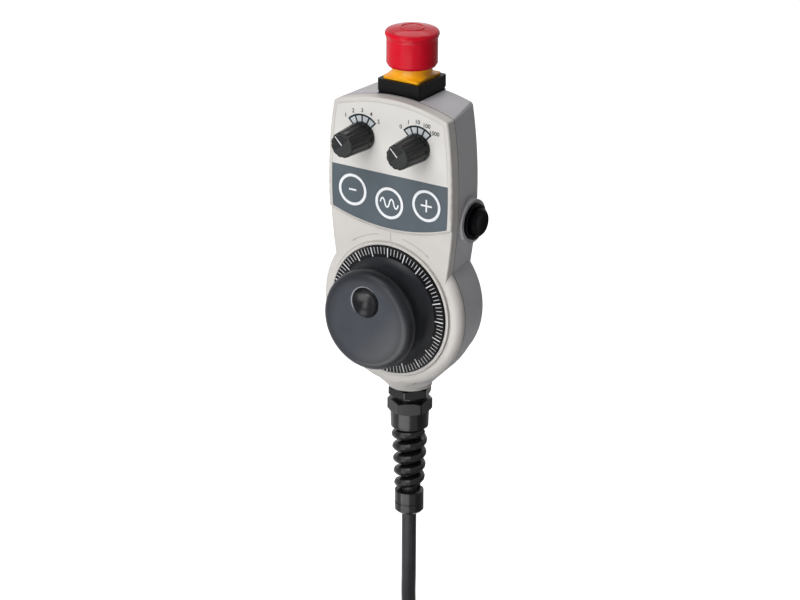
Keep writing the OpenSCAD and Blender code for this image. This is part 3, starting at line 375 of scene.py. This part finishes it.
def wheel_painted_light_and_dimple(g, colour, roughness):
    """Painted highlight and shade on face, edge and waist; darker dimple with a painted rim highlight."""
    x, depth, z = g.axes()
    lift = g.math("SUBTRACT", z, DIMPLE_Z)
    reach = g.distance(x, lift)
    behind = g.math("SUBTRACT", depth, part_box("handwheel_knob")[0].y / MM)
    low_right = g.math("SUBTRACT", x, g.math("MULTIPLY", z, 0.9))
    # Painted highlight: the face turns lighter towards its lower right.
    colour = g.tint(colour, g.ramp(low_right, FACE_HIGHLIGHT_TO, FACE_HIGHLIGHT_FROM), FACE_HIGHLIGHT_SHARE, FACE_HIGHLIGHT_GREY)
    # Painted shade: the waist behind the face, and the face's outer edge, turn darker.
    colour = g.tint(colour, g.ramp(behind, WAIST_DEPTH, 0.0), WAIST_SHADE_SHARE, WAIST_SHADE)
    colour = g.tint(colour, g.ramp(g.distance(x, z), EDGE_R, FACE_R), EDGE_SHADE_SHARE, WAIST_SHADE)
    inside = g.ramp(reach, DIMPLE_R - RIM_IN, DIMPLE_R)
    colour = g.mix(inside, colour, DIMPLE_BLACK)
    # Painted highlight: a bright arc on the upper left of the finger dimple's rim.
    inner = g.ramp(reach, DIMPLE_R - RIM_CORE, DIMPLE_R - RIM_IN)
    outer = g.ramp(reach, DIMPLE_R + RIM_CORE, DIMPLE_R + RIM_OUT)
    upper_left = g.ramp(g.math("SUBTRACT", lift, x), 8.0, -2.0)
    rim = g.math("MULTIPLY", g.math("MULTIPLY", inner, outer), upper_left)
    colour = g.mix(rim, colour, RIM_HIGHLIGHT)
    return colour, g.math("SUBTRACT", roughness, g.math("MULTIPLY", inside, 0.08))


# ---------------------------------------------------------------- materials


def shell_materials():
    """The two shells and the panel's foil."""
    plastic(
        "shell_front", (0.655, 0.628, 0.600), 0.42, grain=0.30, mottle=0.02, wear=0.10, specular=0.3, ior=1.4,
        edge_mm=0.5, details=joint_gap,
    )
    # The rear shell is the same light grey plastic as the front shell: its darker, cooler colour is painted
    # shade for its sides, which face away from the lamps. The fairings take this colour too.
    plastic(
        "shell_rear", (0.530, 0.522, 0.545), 0.46, grain=0.40, mottle=0.02, wear=0.10, specular=0.3, ior=1.4,
        edge_mm=0.4, details=joint_gap,
    )
    plastic(
        "foil_light", (0.715, 0.698, 0.672), 0.38, grain=0.16, grain_mm=0.25, mottle=0.015, wear=0.0,
        specular=0.3, ior=1.4, edge_mm=0.08,
    )
    plastic(
        "foil_dark", (0.098, 0.122, 0.140), 0.36, grain=0.16, grain_mm=0.25, mottle=0.05, wear=0.0,
        specular=0.3, ior=1.3, edge_mm=0.08,
    )


def control_materials():
    """Handwheel, dial, knobs, emergency stop and enabling buttons."""
    plastic(
        "wheel_black", (0.042, 0.047, 0.060), 0.34, grain=0.40, grain_mm=0.45, mottle=0.12, wear=0.05,
        ior=1.27, details=wheel_painted_light_and_dimple,
    )
    plastic(
        "dial_black", (0.007, 0.007, 0.008), 0.34, grain=0.2, grain_mm=0.3, mottle=0.1, wear=0.04, ior=1.2,
    )
    plastic("knob_black", (0.008, 0.009, 0.010), 0.25, grain=0.20, mottle=0.12, wear=0.05, ior=1.3)
    plastic(
        "knob_face", (0.034, 0.035, 0.036), 0.22, grain=0.12, mottle=0.15, wear=0.0, ior=1.25, edge_mm=0.1,
    )
    plastic(
        "mark_white", (0.86, 0.87, 0.88), 0.5, grain=0.2, mottle=0.02, wear=0.0, specular=0.2, edge_mm=0.05,
    )
    plastic(
        "stop_red", (0.680, 0.003, 0.020), 0.12, grain=0.08, wear=0.0, ior=1.19, edge_mm=0.3, scatter=0.3,
        scatter_mm=4.0,
    )
    plastic(
        "stop_yellow", (1.000, 0.440, 0.005), 0.30, grain=0.16, wear=0.05, ior=1.3, edge_mm=0.3, scatter=0.2,
        scatter_mm=2.0,
    )
    plastic(
        "base_black", (0.006, 0.006, 0.007), 0.30, grain=0.2, mottle=0.1, wear=0.05, ior=1.17, edge_mm=0.4,
    )
    plastic("button_black", (0.002, 0.002, 0.003), 0.16, grain=0.15, mottle=0.1, wear=0.02, ior=1.12)


def inner_materials():
    """Switches, board, cable gland, seals, cable, plug and fasteners."""
    plastic("switch_grey", (0.16, 0.17, 0.18), 0.45, mottle=0.05)
    board("board_green")
    plastic(
        "gland_black", (0.008, 0.008, 0.009), 0.2, grain=0.16, mottle=0.1, wear=0.05, ior=1.3, edge_mm=0.35,
    )
    plastic("rubber_black", (0.008, 0.008, 0.009), 0.6, grain=0.3, mottle=0.1, wear=0.03, specular=0.15)
    cable_jacket("cable_black")
    metal("steel", (0.56, 0.57, 0.58), 0.28)
    metal("zinc", (0.62, 0.62, 0.60), 0.36, grain_mm=0.4)
    woven("hook_band", (0.012, 0.012, 0.014))


def print_materials():
    ink("print_dark", (0.022, 0.030, 0.036), mottle=0.08, specular=0.1)
    ink("print_cell", (0.55, 0.58, 0.60))
    ink("print_white", (0.88, 0.90, 0.93), mottle=0.02)
    ink("print_grey", (0.62, 0.63, 0.65))
    ink("print_faint", (0.42, 0.42, 0.41))


def finish_of(obj, name):
    obj.data.materials.clear()
    obj.data.materials.append(MATERIALS[name])


shell_materials()
control_materials()
inner_materials()
print_materials()


# ---------------------------------------------------------------- cable


# The cable as in the CAD: its coil's middle, layers and turns, the degrees that it sweeps, and the degrees
# over which it shifts to the next turn. Its length is in metres.
CABLE_D = 9
COIL_X, COIL_Y = 40, -85
COIL_UPPER_Z = -240
COIL_INNER_R = 41
TURNS_IN_LAYER = 4
COIL_SWEEP = 7 * 360 + 199.8
COIL_POINTS = 122
JOG = 60.0


def coil_points():
    """Inwards on the upper layer, outwards on the lower one, shifting over each turn's last JOG degrees."""
    radii = [COIL_INNER_R + CABLE_D * i for i in range(TURNS_IN_LAYER)]
    turns = [(r, COIL_UPPER_Z) for r in reversed(radii)] + [(r, COIL_UPPER_Z - CABLE_D) for r in radii]
    points = []
    for i in range(COIL_POINTS):
        swept = COIL_SWEEP * i / (COIL_POINTS - 1)
        k = min(int(swept // 360), len(turns) - 1)
        shift = ease(max(0.0, (swept - 360 * k - (360 - JOG)) / JOG))
        following = turns[min(k + 1, len(turns) - 1)]
        r, z = (now + (then - now) * shift for now, then in zip(turns[k], following))
        a = math.radians(90 - swept)
        points.append((COIL_X + r * math.cos(a), COIL_Y + r * math.sin(a), z))
    return points


def cable_route():
    """Down from the sleeve, through the coil and round to the plug."""
    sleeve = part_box("cable_lead")[1].z / MM
    lead = [
        (0, -17, sleeve), (0, -17, -155), (0, -17, -170), (0, -17, -185), (0, -17, -200), (1, -17, -210),
        (5, -17, -220), (12, -17, -228), (20, -17, -235), (30, -17, -239),
    ]
    tail = [
        (4, -146, -249), (-8, -142, -248), (-20, -136, -247), (-31, -127, -246), (-39, -116, -244),
        (-44, -105, -243), (-46, -95, -242), (-46, -88, -242),
    ]
    return [Vector(p) * MM for p in lead + coil_points() + tail]


def add_cable():
    route = cable_route()
    data = bpy.data.curves.new("cable", "CURVE")
    data.dimensions = "3D"
    data.bevel_depth = CABLE_D / 2 * MM
    data.bevel_resolution = 5
    data.resolution_u = 4
    spline = data.splines.new("BEZIER")
    spline.bezier_points.add(len(route) - 1)
    for point, place in zip(spline.bezier_points, route):
        point.co = place
        point.handle_left_type = point.handle_right_type = "AUTO"
    data.materials.append(MATERIALS["cable_black"])
    cable = link(bpy.data.objects.new("cable", data))
    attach(cable, "housing")
    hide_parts("cable_lead", "cable_coil", "cable_tail")


add_cable()


# ---------------------------------------------------------------- CAD nodes' finish


def finish_nodes():
    """Each CAD node takes the finish named like its material slot."""
    for node in NODES.values():
        slot = node.data.materials[0].name if node.data.materials else ""
        finish_of(node, slot if slot in MATERIALS else "switch_grey")
    finish_of(NODES["coil_tie"], "hook_band")


finish_nodes()


# ---------------------------------------------------------------- throat


# The throat's flare ends in a narrow shelf on the housing's sides, and a fairing on each side covers it. It
# runs from BEHIND_JOINT behind the front shell to FAIRING_REAR_Y, and from FAIRING_LAP under the shelf up to
# FAIRING_TOP_Z. It dips under the housing's surface at its borders. PROBE is how far from the shelf its widths
# are taken.
SHELF_Z, FAIRING_TOP_Z = -34.0, -17.0
FAIRING_REAR_Y = -2.2
BEHIND_JOINT = 0.7
FAIRING_SINK, BORDER_SINK = 0.03, 0.5
FAIRING_LAP = 1.0
FAIRING_T = 1.2
FAIRING_ROWS, FAIRING_COLUMNS = 40, 24
PROBE = 0.1


def half_width(shell, side, y, z):
    """Half width of the housing on one side at (y, z), or None where it has no side."""
    hit = shell.ray_cast(Vector((side * FAR_SIDE, y * MM, z * MM)), Vector((-side, 0, 0)))[0]
    return abs(hit.x) / MM if hit is not None else None


def fairing_skin(shell, side, y):
    """Points (x, z) up the outside of a fairing at depth y, and how far the shelf stands out there."""
    below = half_width(shell, side, y, SHELF_Z - PROBE)
    above = half_width(shell, side, y, SHELF_Z + PROBE)
    if below is None or above is None:
        return None, 0.0
    ledge = max(0.0, below - above)
    skin = [(below - FAIRING_LAP - BORDER_SINK, SHELF_Z - FAIRING_LAP)]
    for j in range(FAIRING_COLUMNS):
        t = j / (FAIRING_COLUMNS - 1)
        z = SHELF_Z + (FAIRING_TOP_Z - SHELF_Z) * t
        width = half_width(shell, side, y, z + PROBE)
        skin.append((width + ledge * (1 - ease(t)) - FAIRING_SINK, z))
    skin[-1] = (skin[-1][0] - BORDER_SINK, FAIRING_TOP_Z)
    return skin, ledge


def close_slab(bm, outer, inner):
    """Faces of a slab between two grids of points; only the middle of each grid is shaded smooth."""
    columns = len(outer[0]) - 1
    for grid in (outer, inner):
        for i, (a, b) in enumerate(zip(grid, grid[1:])):
            for j in range(columns):
                face = bm.faces.new((a[j], a[j + 1], b[j + 1], b[j]))
                face.smooth = 0 < j < columns - 1 and 0 < i < len(grid) - 2
    for j in range(columns):
        for o, n in ((outer[0], inner[0]), (outer[-1], inner[-1])):
            bm.faces.new((o[j], o[j + 1], n[j + 1], n[j]))
    for (o, p), (m, q) in zip(zip(outer, outer[1:]), zip(inner, inner[1:])):
        for k in (0, columns):
            bm.faces.new((o[k], p[k], q[k], m[k]))
    bmesh.ops.recalc_face_normals(bm, faces=bm.faces)


def add_fairing(name, side, shell):
    """Smooth run-out of the throat's flare on one side of the round housing, over the flare's upper edge."""
    bm = bmesh.new()
    outer, inner = [], []
    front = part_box("front_shell")[1].y / MM + BEHIND_JOINT
    for i in range(FAIRING_ROWS + 1):
        y = front + (FAIRING_REAR_Y - front) * i / FAIRING_ROWS
        skin, ledge = fairing_skin(shell, side, y)
        if skin is None:
            continue
        if i in (0, FAIRING_ROWS):
            skin = [(x - BORDER_SINK, z) for x, z in skin]
        for grid, depth in ((outer, 0.0), (inner, ledge + FAIRING_T)):
            grid.append([bm.verts.new((side * (x - depth) * MM, y * MM, z * MM)) for x, z in skin])
    close_slab(bm, outer, inner)
    fairing = object_from(bm, name)
    # The fairing takes the rear shell's colour, which holds painted shade.
    finish_of(fairing, "shell_rear")
    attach(fairing, "housing")


add_fairing("left_fairing", -1, tree_of("rear_shell"))
add_fairing("right_fairing", 1, tree_of("rear_shell"))


# ---------------------------------------------------------------- printed scales


# How far ink reaches under its surface, the share of a font's size that a numeral is high, and its weight.
INK_ROOT = 0.02
NUMERAL_SHARE = 0.7
NUMERAL_WEIGHT = 0.07


def surface_of(node):
    """Front surface of a CAD node: gives the depth in metres that a print at (x, z) lies at."""
    tree = tree_of(node)

    def depth(x, z):
        return tree.ray_cast(Vector((x * MM, -FAR_FRONT, z * MM)), Vector((0, 1, 0)))[0].y

    return depth


class Print:
    """Thin closed slabs of ink that lie on a surface."""

    def __init__(self, name, body, finish, slot, depth, proud=0.035):
        self.name, self.body, self.finish, self.slot = name, body, finish, slot
        self.depth, self.proud = depth, proud * MM
        self.bm = bmesh.new()

    def strip(self, left, right, closed=False):
        """Slab between two edges given as points (x, z)."""
        rows = []
        for a, b in zip(left, right):
            row = []
            for x, z in (a, b):
                y = self.depth(x, z)
                row.append(self.bm.verts.new((x * MM, y - self.proud, z * MM)))
                row.append(self.bm.verts.new((x * MM, y + INK_ROOT * MM, z * MM)))
            rows.append((row[0], row[2], row[3], row[1]))
        n = len(rows)
        for i in range(n if closed else n - 1):
            p, q = rows[i], rows[(i + 1) % n]
            for j in range(4):
                self.bm.faces.new((p[j], p[(j + 1) % 4], q[(j + 1) % 4], q[j]))
        if not closed:
            self.bm.faces.new(rows[0])
            self.bm.faces.new(tuple(reversed(rows[-1])))

    def arc(self, center, r, width, start, end, steps=48):
        """Band around center; angles in degrees from upright, clockwise."""
        whole = abs(end - start) >= 360
        angles = [math.radians(start + (end - start) * i / steps) for i in range(steps + (0 if whole else 1))]
        inner, outer = (
            [(center[0] + q * math.sin(a), center[1] + q * math.cos(a)) for a in angles]
            for q in (r - width / 2, r + width / 2)
        )
        self.strip(inner, outer, whole)

    def spoke(self, center, r0, r1, angle, width, width_out=None):
        """Straight mark outwards from r0 to r1; width_out is its width at r1, where that differs."""
        a = math.radians(angle)
        out, across = Vector((math.sin(a), math.cos(a))), Vector((math.cos(a), -math.sin(a)))
        ends = [Vector(center) + out * r for r in (r0, r1)]
        halves = [across * w / 2 for w in (width, width if width_out is None else width_out)]
        left = [tuple(end - half) for end, half in zip(ends, halves)]
        right = [tuple(end + half) for end, half in zip(ends, halves)]
        self.strip(left, right)

    def line(self, points, width):
        """Stroke of even width along points (x, z)."""
        left, right = [], []
        for i, p in enumerate(points):
            p = Vector(p)
            before = Vector(points[max(i - 1, 0)])
            after = Vector(points[min(i + 1, len(points) - 1)])
            d = (after - before).normalized()
            across = Vector((d.y, -d.x)) * width / 2
            left.append(tuple(p - across))
            right.append(tuple(p + across))
        self.strip(left, right)

    def text(self, words, place, height):
        """Upright generic numerals or signs, centred on place."""
        data = bpy.data.curves.new(self.name + "_text", "FONT")
        data.body = words
        data.size = height / NUMERAL_SHARE * MM
        data.align_x = data.align_y = "CENTER"
        data.extrude = (self.proud + INK_ROOT * MM) / 2
        data.resolution_u = 4
        data.offset = NUMERAL_WEIGHT * MM
        holder = link(bpy.data.objects.new(self.name + "_text", data))
        bpy.context.view_layer.update()
        mesh = holder.evaluated_get(bpy.context.evaluated_depsgraph_get()).to_mesh()
        mid = self.depth(*place) - (self.proud - INK_ROOT * MM) / 2
        move = Matrix.Translation((place[0] * MM, mid, place[1] * MM))
        mesh.transform(move @ Matrix.Rotation(math.pi / 2, 4, "X"))
        self.bm.from_mesh(mesh)
        bpy.data.objects.remove(holder)

    def done(self):
        """Makes the piece."""
        bmesh.ops.remove_doubles(self.bm, verts=self.bm.verts, dist=1e-7)
        bmesh.ops.recalc_face_normals(self.bm, faces=self.bm.faces)
        obj = object_from(self.bm, self.name)
        finish_of(obj, self.finish)
        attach(obj, self.body)


# Around a selector: five positions a step apart in degrees, an arc with a tick at each, pale cells between
# the ticks with a margin in degrees, and a ring of numbers that spreads a little wider than the ticks.
SELECTOR_STEP = 22.5
SCALE_R, SCALE_LINE_W = 13.05, 1.2
TICK_R, TICK_W = 8.0, 1.05
CELL_R, CELL_W, CELL_MARGIN = 10.4, 4.4, 2.2
NUMBER_X_R, NUMBER_Z_R, NUMBER_H, NUMBER_SPREAD = 16.0, 15.8, 2.5, 1.04


def selector_scales():
    """Switch positions around both selectors, with generic numbers."""
    depth = surface_of("panel_foil")
    lines = Print("selector_scale_lines", "housing", "print_dark", "foil_dark", depth)
    cells = Print("selector_scale_cells", "housing", "print_cell", "foil_dark", depth, proud=0.02)
    for knob, numbers in (("axis_shaft", "1 2 3 4 5"), ("step_shaft", "0 1 10 100 1000")):
        m = middle(knob) / MM
        center = (m.x, m.z)
        angles = [SELECTOR_STEP * i for i in range(-2, 3)]
        for a, b in zip(angles, angles[1:]):
            cells.arc(center, CELL_R, CELL_W, a + CELL_MARGIN, b - CELL_MARGIN, 8)
        lines.arc(center, SCALE_R, SCALE_LINE_W, angles[0] - CELL_MARGIN, angles[-1] + CELL_MARGIN)
        for a, number in zip(angles, numbers.split()):
            lines.spoke(center, TICK_R, SCALE_R, a, TICK_W)
            t = math.radians(a * NUMBER_SPREAD)
            place = (center[0] + NUMBER_X_R * math.sin(t), center[1] + NUMBER_Z_R * math.cos(t))
            lines.text(number, place, NUMBER_H)
    lines.done()
    cells.done()


def wave_form(u):
    """Sine with broad, round crests."""
    v = math.sin(math.pi * u)
    return math.copysign(abs(v) ** 0.7, v)


# On a key: the ring within its edge, the strokes of the signs, and half the reach of each sign.
RING_INSET, RING_W = 1.0, 1.75
SIGN_W = 1.1
MINUS_HALF, PLUS_HALF = 2.6, 3.9
WAVE_HALF, WAVE_H, WAVE_W = 6.3, 2.7, 0.95
WAVE_STEPS = 24


def key_signs():
    """Printed ring and sign on each of the three keys."""
    for node in ("key_minus", "key_rapid", "key_plus"):
        m = middle(node) / MM
        x, z = m.x, m.z
        sign = Print(node + "_print", BODY_OF[node], "print_white", "mark_white", surface_of(node))
        lo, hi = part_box(node)
        sign.arc((x, z), (hi.x - lo.x) / 2 / MM - RING_INSET, RING_W, 0, 360, 64)
        if node == "key_rapid":
            places = [u / WAVE_STEPS - 1 for u in range(2 * WAVE_STEPS + 1)]
            wave = [(x + WAVE_HALF * p, z + WAVE_H * wave_form(2 * (p + 1))) for p in places]
            sign.line(wave, WAVE_W)
        else:
            reach = MINUS_HALF if node == "key_minus" else PLUS_HALF
            sign.line([(x - reach, z), (x + reach, z)], SIGN_W)
            if node == "key_plus":
                sign.line([(x, z + SIGN_W / 2), (x, z + reach)], SIGN_W)
                sign.line([(x, z - SIGN_W / 2), (x, z - reach)], SIGN_W)
        sign.done()


# The disc is a band around the knob's middle; the rim is left open for the pointer mark.
DISC_R, DISC_W = 3.2, 6.3
KNOB_RIM_R, KNOB_RIM_W = 6.55, 0.4
RIM_START, RIM_END = -41, 311


def knob_faces():
    """Smooth disc with a fine raised rim on the front of each selector knob, open at the pointer mark."""
    for knob in ("axis_knob", "step_knob"):
        m = middle(knob) / MM
        center, depth = (m.x, m.z), surface_of(knob)
        disc = Print(knob + "_disc", BODY_OF[knob], "knob_face", "knob_black", depth, proud=0.03)
        disc.arc(center, DISC_R, DISC_W, 0, 360)
        disc.done()
        rim = Print(knob + "_rim", BODY_OF[knob], "knob_face", "knob_black", depth, proud=0.14)
        rim.arc(center, KNOB_RIM_R, KNOB_RIM_W, RIM_START, RIM_END, 64)
        rim.done()


# On the dial: every division ends at the outer radius and begins at the fine or the main one.
DIVISIONS, MAIN_EVERY = 100, 5
DIVISION_OUT_R = 39.5
FINE_IN_R, FINE_W = 35.3, 0.42
MAIN_IN_R, MAIN_W = 33.7, 0.62


def dial_scale():
    """One hundred divisions; every fifth is longer and whiter."""
    depth = surface_of("scale_dial")
    body = BODY_OF["scale_dial"]
    fine = Print("dial_lines_fine", body, "print_grey", "mark_white", depth, proud=0.02)
    main = Print("dial_lines_main", body, "print_white", "mark_white", depth, proud=0.02)
    for i in range(DIVISIONS):
        angle = i * 360 / DIVISIONS
        if i % MAIN_EVERY:
            fine.spoke((0, 0), FINE_IN_R, DIVISION_OUT_R, angle, FINE_W)
        else:
            main.spoke((0, 0), MAIN_IN_R, DIVISION_OUT_R, angle, MAIN_W)
    fine.done()
    main.done()


# On the housing: the index line, and arrows around the dial with their angles from upright and a slim tip.
INDEX_FROM_Z, INDEX_TO_Z, INDEX_W, INDEX_STEPS = 43.2, 48.4, 0.55, 6
ARROW_R, ARROW_W = 46.6, 0.45
ARROW_FROM, ARROW_TO, TIP_AT = 10, 34, 36.5
TIP_LENGTH, TIP_POINT_W, TIP_BACK_W, TIP_TURN = 3.0, 0.05, 1.3, 54.5


def housing_marks():
    """Index line above the dial and a faint arrow to each side."""
    depth = surface_of("front_shell")
    index = Print("index_line", "housing", "print_faint", "foil_dark", depth)
    rise = (INDEX_TO_Z - INDEX_FROM_Z) / INDEX_STEPS
    index.line([(0, INDEX_FROM_Z + rise * i) for i in range(INDEX_STEPS + 1)], INDEX_W)
    index.done()
    arrows = Print("direction_arrows", "housing", "print_faint", "foil_dark", depth, proud=0.02)
    for side in (-1, 1):
        arrows.arc((0, 0), ARROW_R, ARROW_W, side * ARROW_FROM, side * ARROW_TO, 24)
        a = math.radians(side * TIP_AT)
        tip = (ARROW_R * math.sin(a), ARROW_R * math.cos(a))
        arrows.spoke(tip, 0, TIP_LENGTH, side * -TIP_TURN, TIP_POINT_W, TIP_BACK_W)
    arrows.done()


selector_scales()
key_signs()
knob_faces()
dial_scale()
housing_marks()


# ---------------------------------------------------------------- stage and light


# Lamps, floor and cards are placed in metres.
LAMP_TARGET = (0, -0.03, 0.03)
LAMP_DISTANCE = 2.2


def area(name, azimuth, elevation, size, power):
    """Area light that looks at the part."""
    data = bpy.data.lights.new(name, "AREA")
    data.shape = "RECTANGLE"
    data.size, data.size_y = size
    data.energy = power
    lamp = link(bpy.data.objects.new(name, data))
    way = direction(azimuth, elevation)
    turn = (-way).to_track_quat("-Z", "Y").to_matrix().to_4x4()
    lamp.matrix_world = Matrix.Translation(Vector(LAMP_TARGET) + LAMP_DISTANCE * way) @ turn


def seen_directly(tree):
    """1 for rays from the camera, in reflections and through glass, and 0 for diffuse light."""
    path = tree.nodes.new("ShaderNodeLightPath")
    seen = path.outputs["Is Camera Ray"]
    for name in ("Is Glossy Ray", "Is Transmission Ray"):
        most = tree.nodes.new("ShaderNodeMath")
        most.operation = "MAXIMUM"
        tree.links.new(seen, most.inputs[0])
        tree.links.new(path.outputs[name], most.inputs[1])
        seen = most.outputs["Value"]
    return seen


# Strength of the white surroundings' light on the part; the floor's glow where it is seen or reflected, its
# own shade, its width, and how far it lies under the part.
AMBIENT = 0.09
FLOOR_GLOW = 0.80
FLOOR_GREY = 0.78
FLOOR_SIZE = 12
FLOOR_GAP = 0.0002


def add_world():
    """White surroundings that light the part only a little."""
    world = bpy.data.worlds.new("world")
    world.use_nodes = True
    tree = world.node_tree
    back = tree.nodes["Background"]
    back.inputs["Color"].default_value = (1, 1, 1, 1)
    level = tree.nodes.new("ShaderNodeMapRange")
    level.inputs["To Min"].default_value = AMBIENT
    level.inputs["To Max"].default_value = 1.0
    tree.links.new(seen_directly(tree), level.inputs["Value"])
    tree.links.new(level.outputs["Result"], back.inputs["Strength"])
    bpy.context.scene.world = world


def add_floor():
    """Pale matt floor just under the part."""
    z = CAD_BOX[0].z - FLOOR_GAP
    bpy.ops.mesh.primitive_plane_add(size=FLOOR_SIZE, location=(0, 0, z))
    floor = bpy.context.object
    floor.name = "floor"
    material = bpy.data.materials.new("floor")
    material.use_nodes = True
    tree = material.node_tree
    shader = tree.nodes["Principled BSDF"]
    shader.inputs["Base Color"].default_value = (FLOOR_GREY, FLOOR_GREY, FLOOR_GREY, 1)
    shader.inputs["Roughness"].default_value = 0.9
    shader.inputs["Specular IOR Level"].default_value = 0.0
    glow = tree.nodes.new("ShaderNodeEmission")
    glow.inputs["Color"].default_value = (1, 1, 1, 1)
    level = tree.nodes.new("ShaderNodeMapRange")
    level.inputs["To Max"].default_value = FLOOR_GLOW
    tree.links.new(seen_directly(tree), level.inputs["Value"])
    tree.links.new(level.outputs["Result"], glow.inputs["Strength"])
    both = tree.nodes.new("ShaderNodeAddShader")
    tree.links.new(shader.outputs[0], both.inputs[0])
    tree.links.new(glow.outputs[0], both.inputs[1])
    tree.links.new(both.outputs[0], tree.nodes["Material Output"].inputs["Surface"])
    floor.data.materials.append(material)


# Degrees between two spokes of a card.
CARD_STEP = 12


def add_card(name, foot, start, end, near, far, strength):
    """Sector on the floor, around foot and between two azimuths and radii, that only shows in reflections."""
    bm = bmesh.new()
    rows = []
    steps = math.ceil((end - start) / CARD_STEP)
    for i in range(steps + 1):
        way = direction(start + (end - start) * i / steps, 0)
        places = [(foot[0] + r * way.x, foot[1] + r * way.y, CAD_BOX[0].z) for r in (near, far)]
        rows.append([bm.verts.new(place) for place in places])
    for p, q in zip(rows, rows[1:]):
        bm.faces.new((p[0], q[0], q[1], p[1]))
    card = object_from(bm, name)
    material = bpy.data.materials.new(name)
    material.use_nodes = True
    tree = material.node_tree
    glow = tree.nodes.new("ShaderNodeEmission")
    glow.inputs["Strength"].default_value = strength
    tree.links.new(glow.outputs[0], tree.nodes["Material Output"].inputs["Surface"])
    card.data.materials.append(material)
    card.visible_camera = card.visible_diffuse = card.visible_shadow = False
    card.visible_transmission = card.visible_volume_scatter = False


bpy.context.scene.view_settings.view_transform = "Standard"
add_world()
add_floor()
area("key_light", -14, 52, size=(1.5, 1.1), power=23.5)
area("front_light", -5, 8, size=(0.9, 1.6), power=27)
area("back_light", -160, 50, size=(1.5, 1.1), power=10)
add_card("strip_card", (0, -0.02), -20, 32, near=0.24, far=1.25, strength=7.0)
add_card("dimple_card", (0, -0.066), -44, -24, near=0.22, far=0.33, strength=10.0)
add_card("rear_flag", (0, 0.05), 70, 250, near=0.06, far=3.0, strength=0.4)
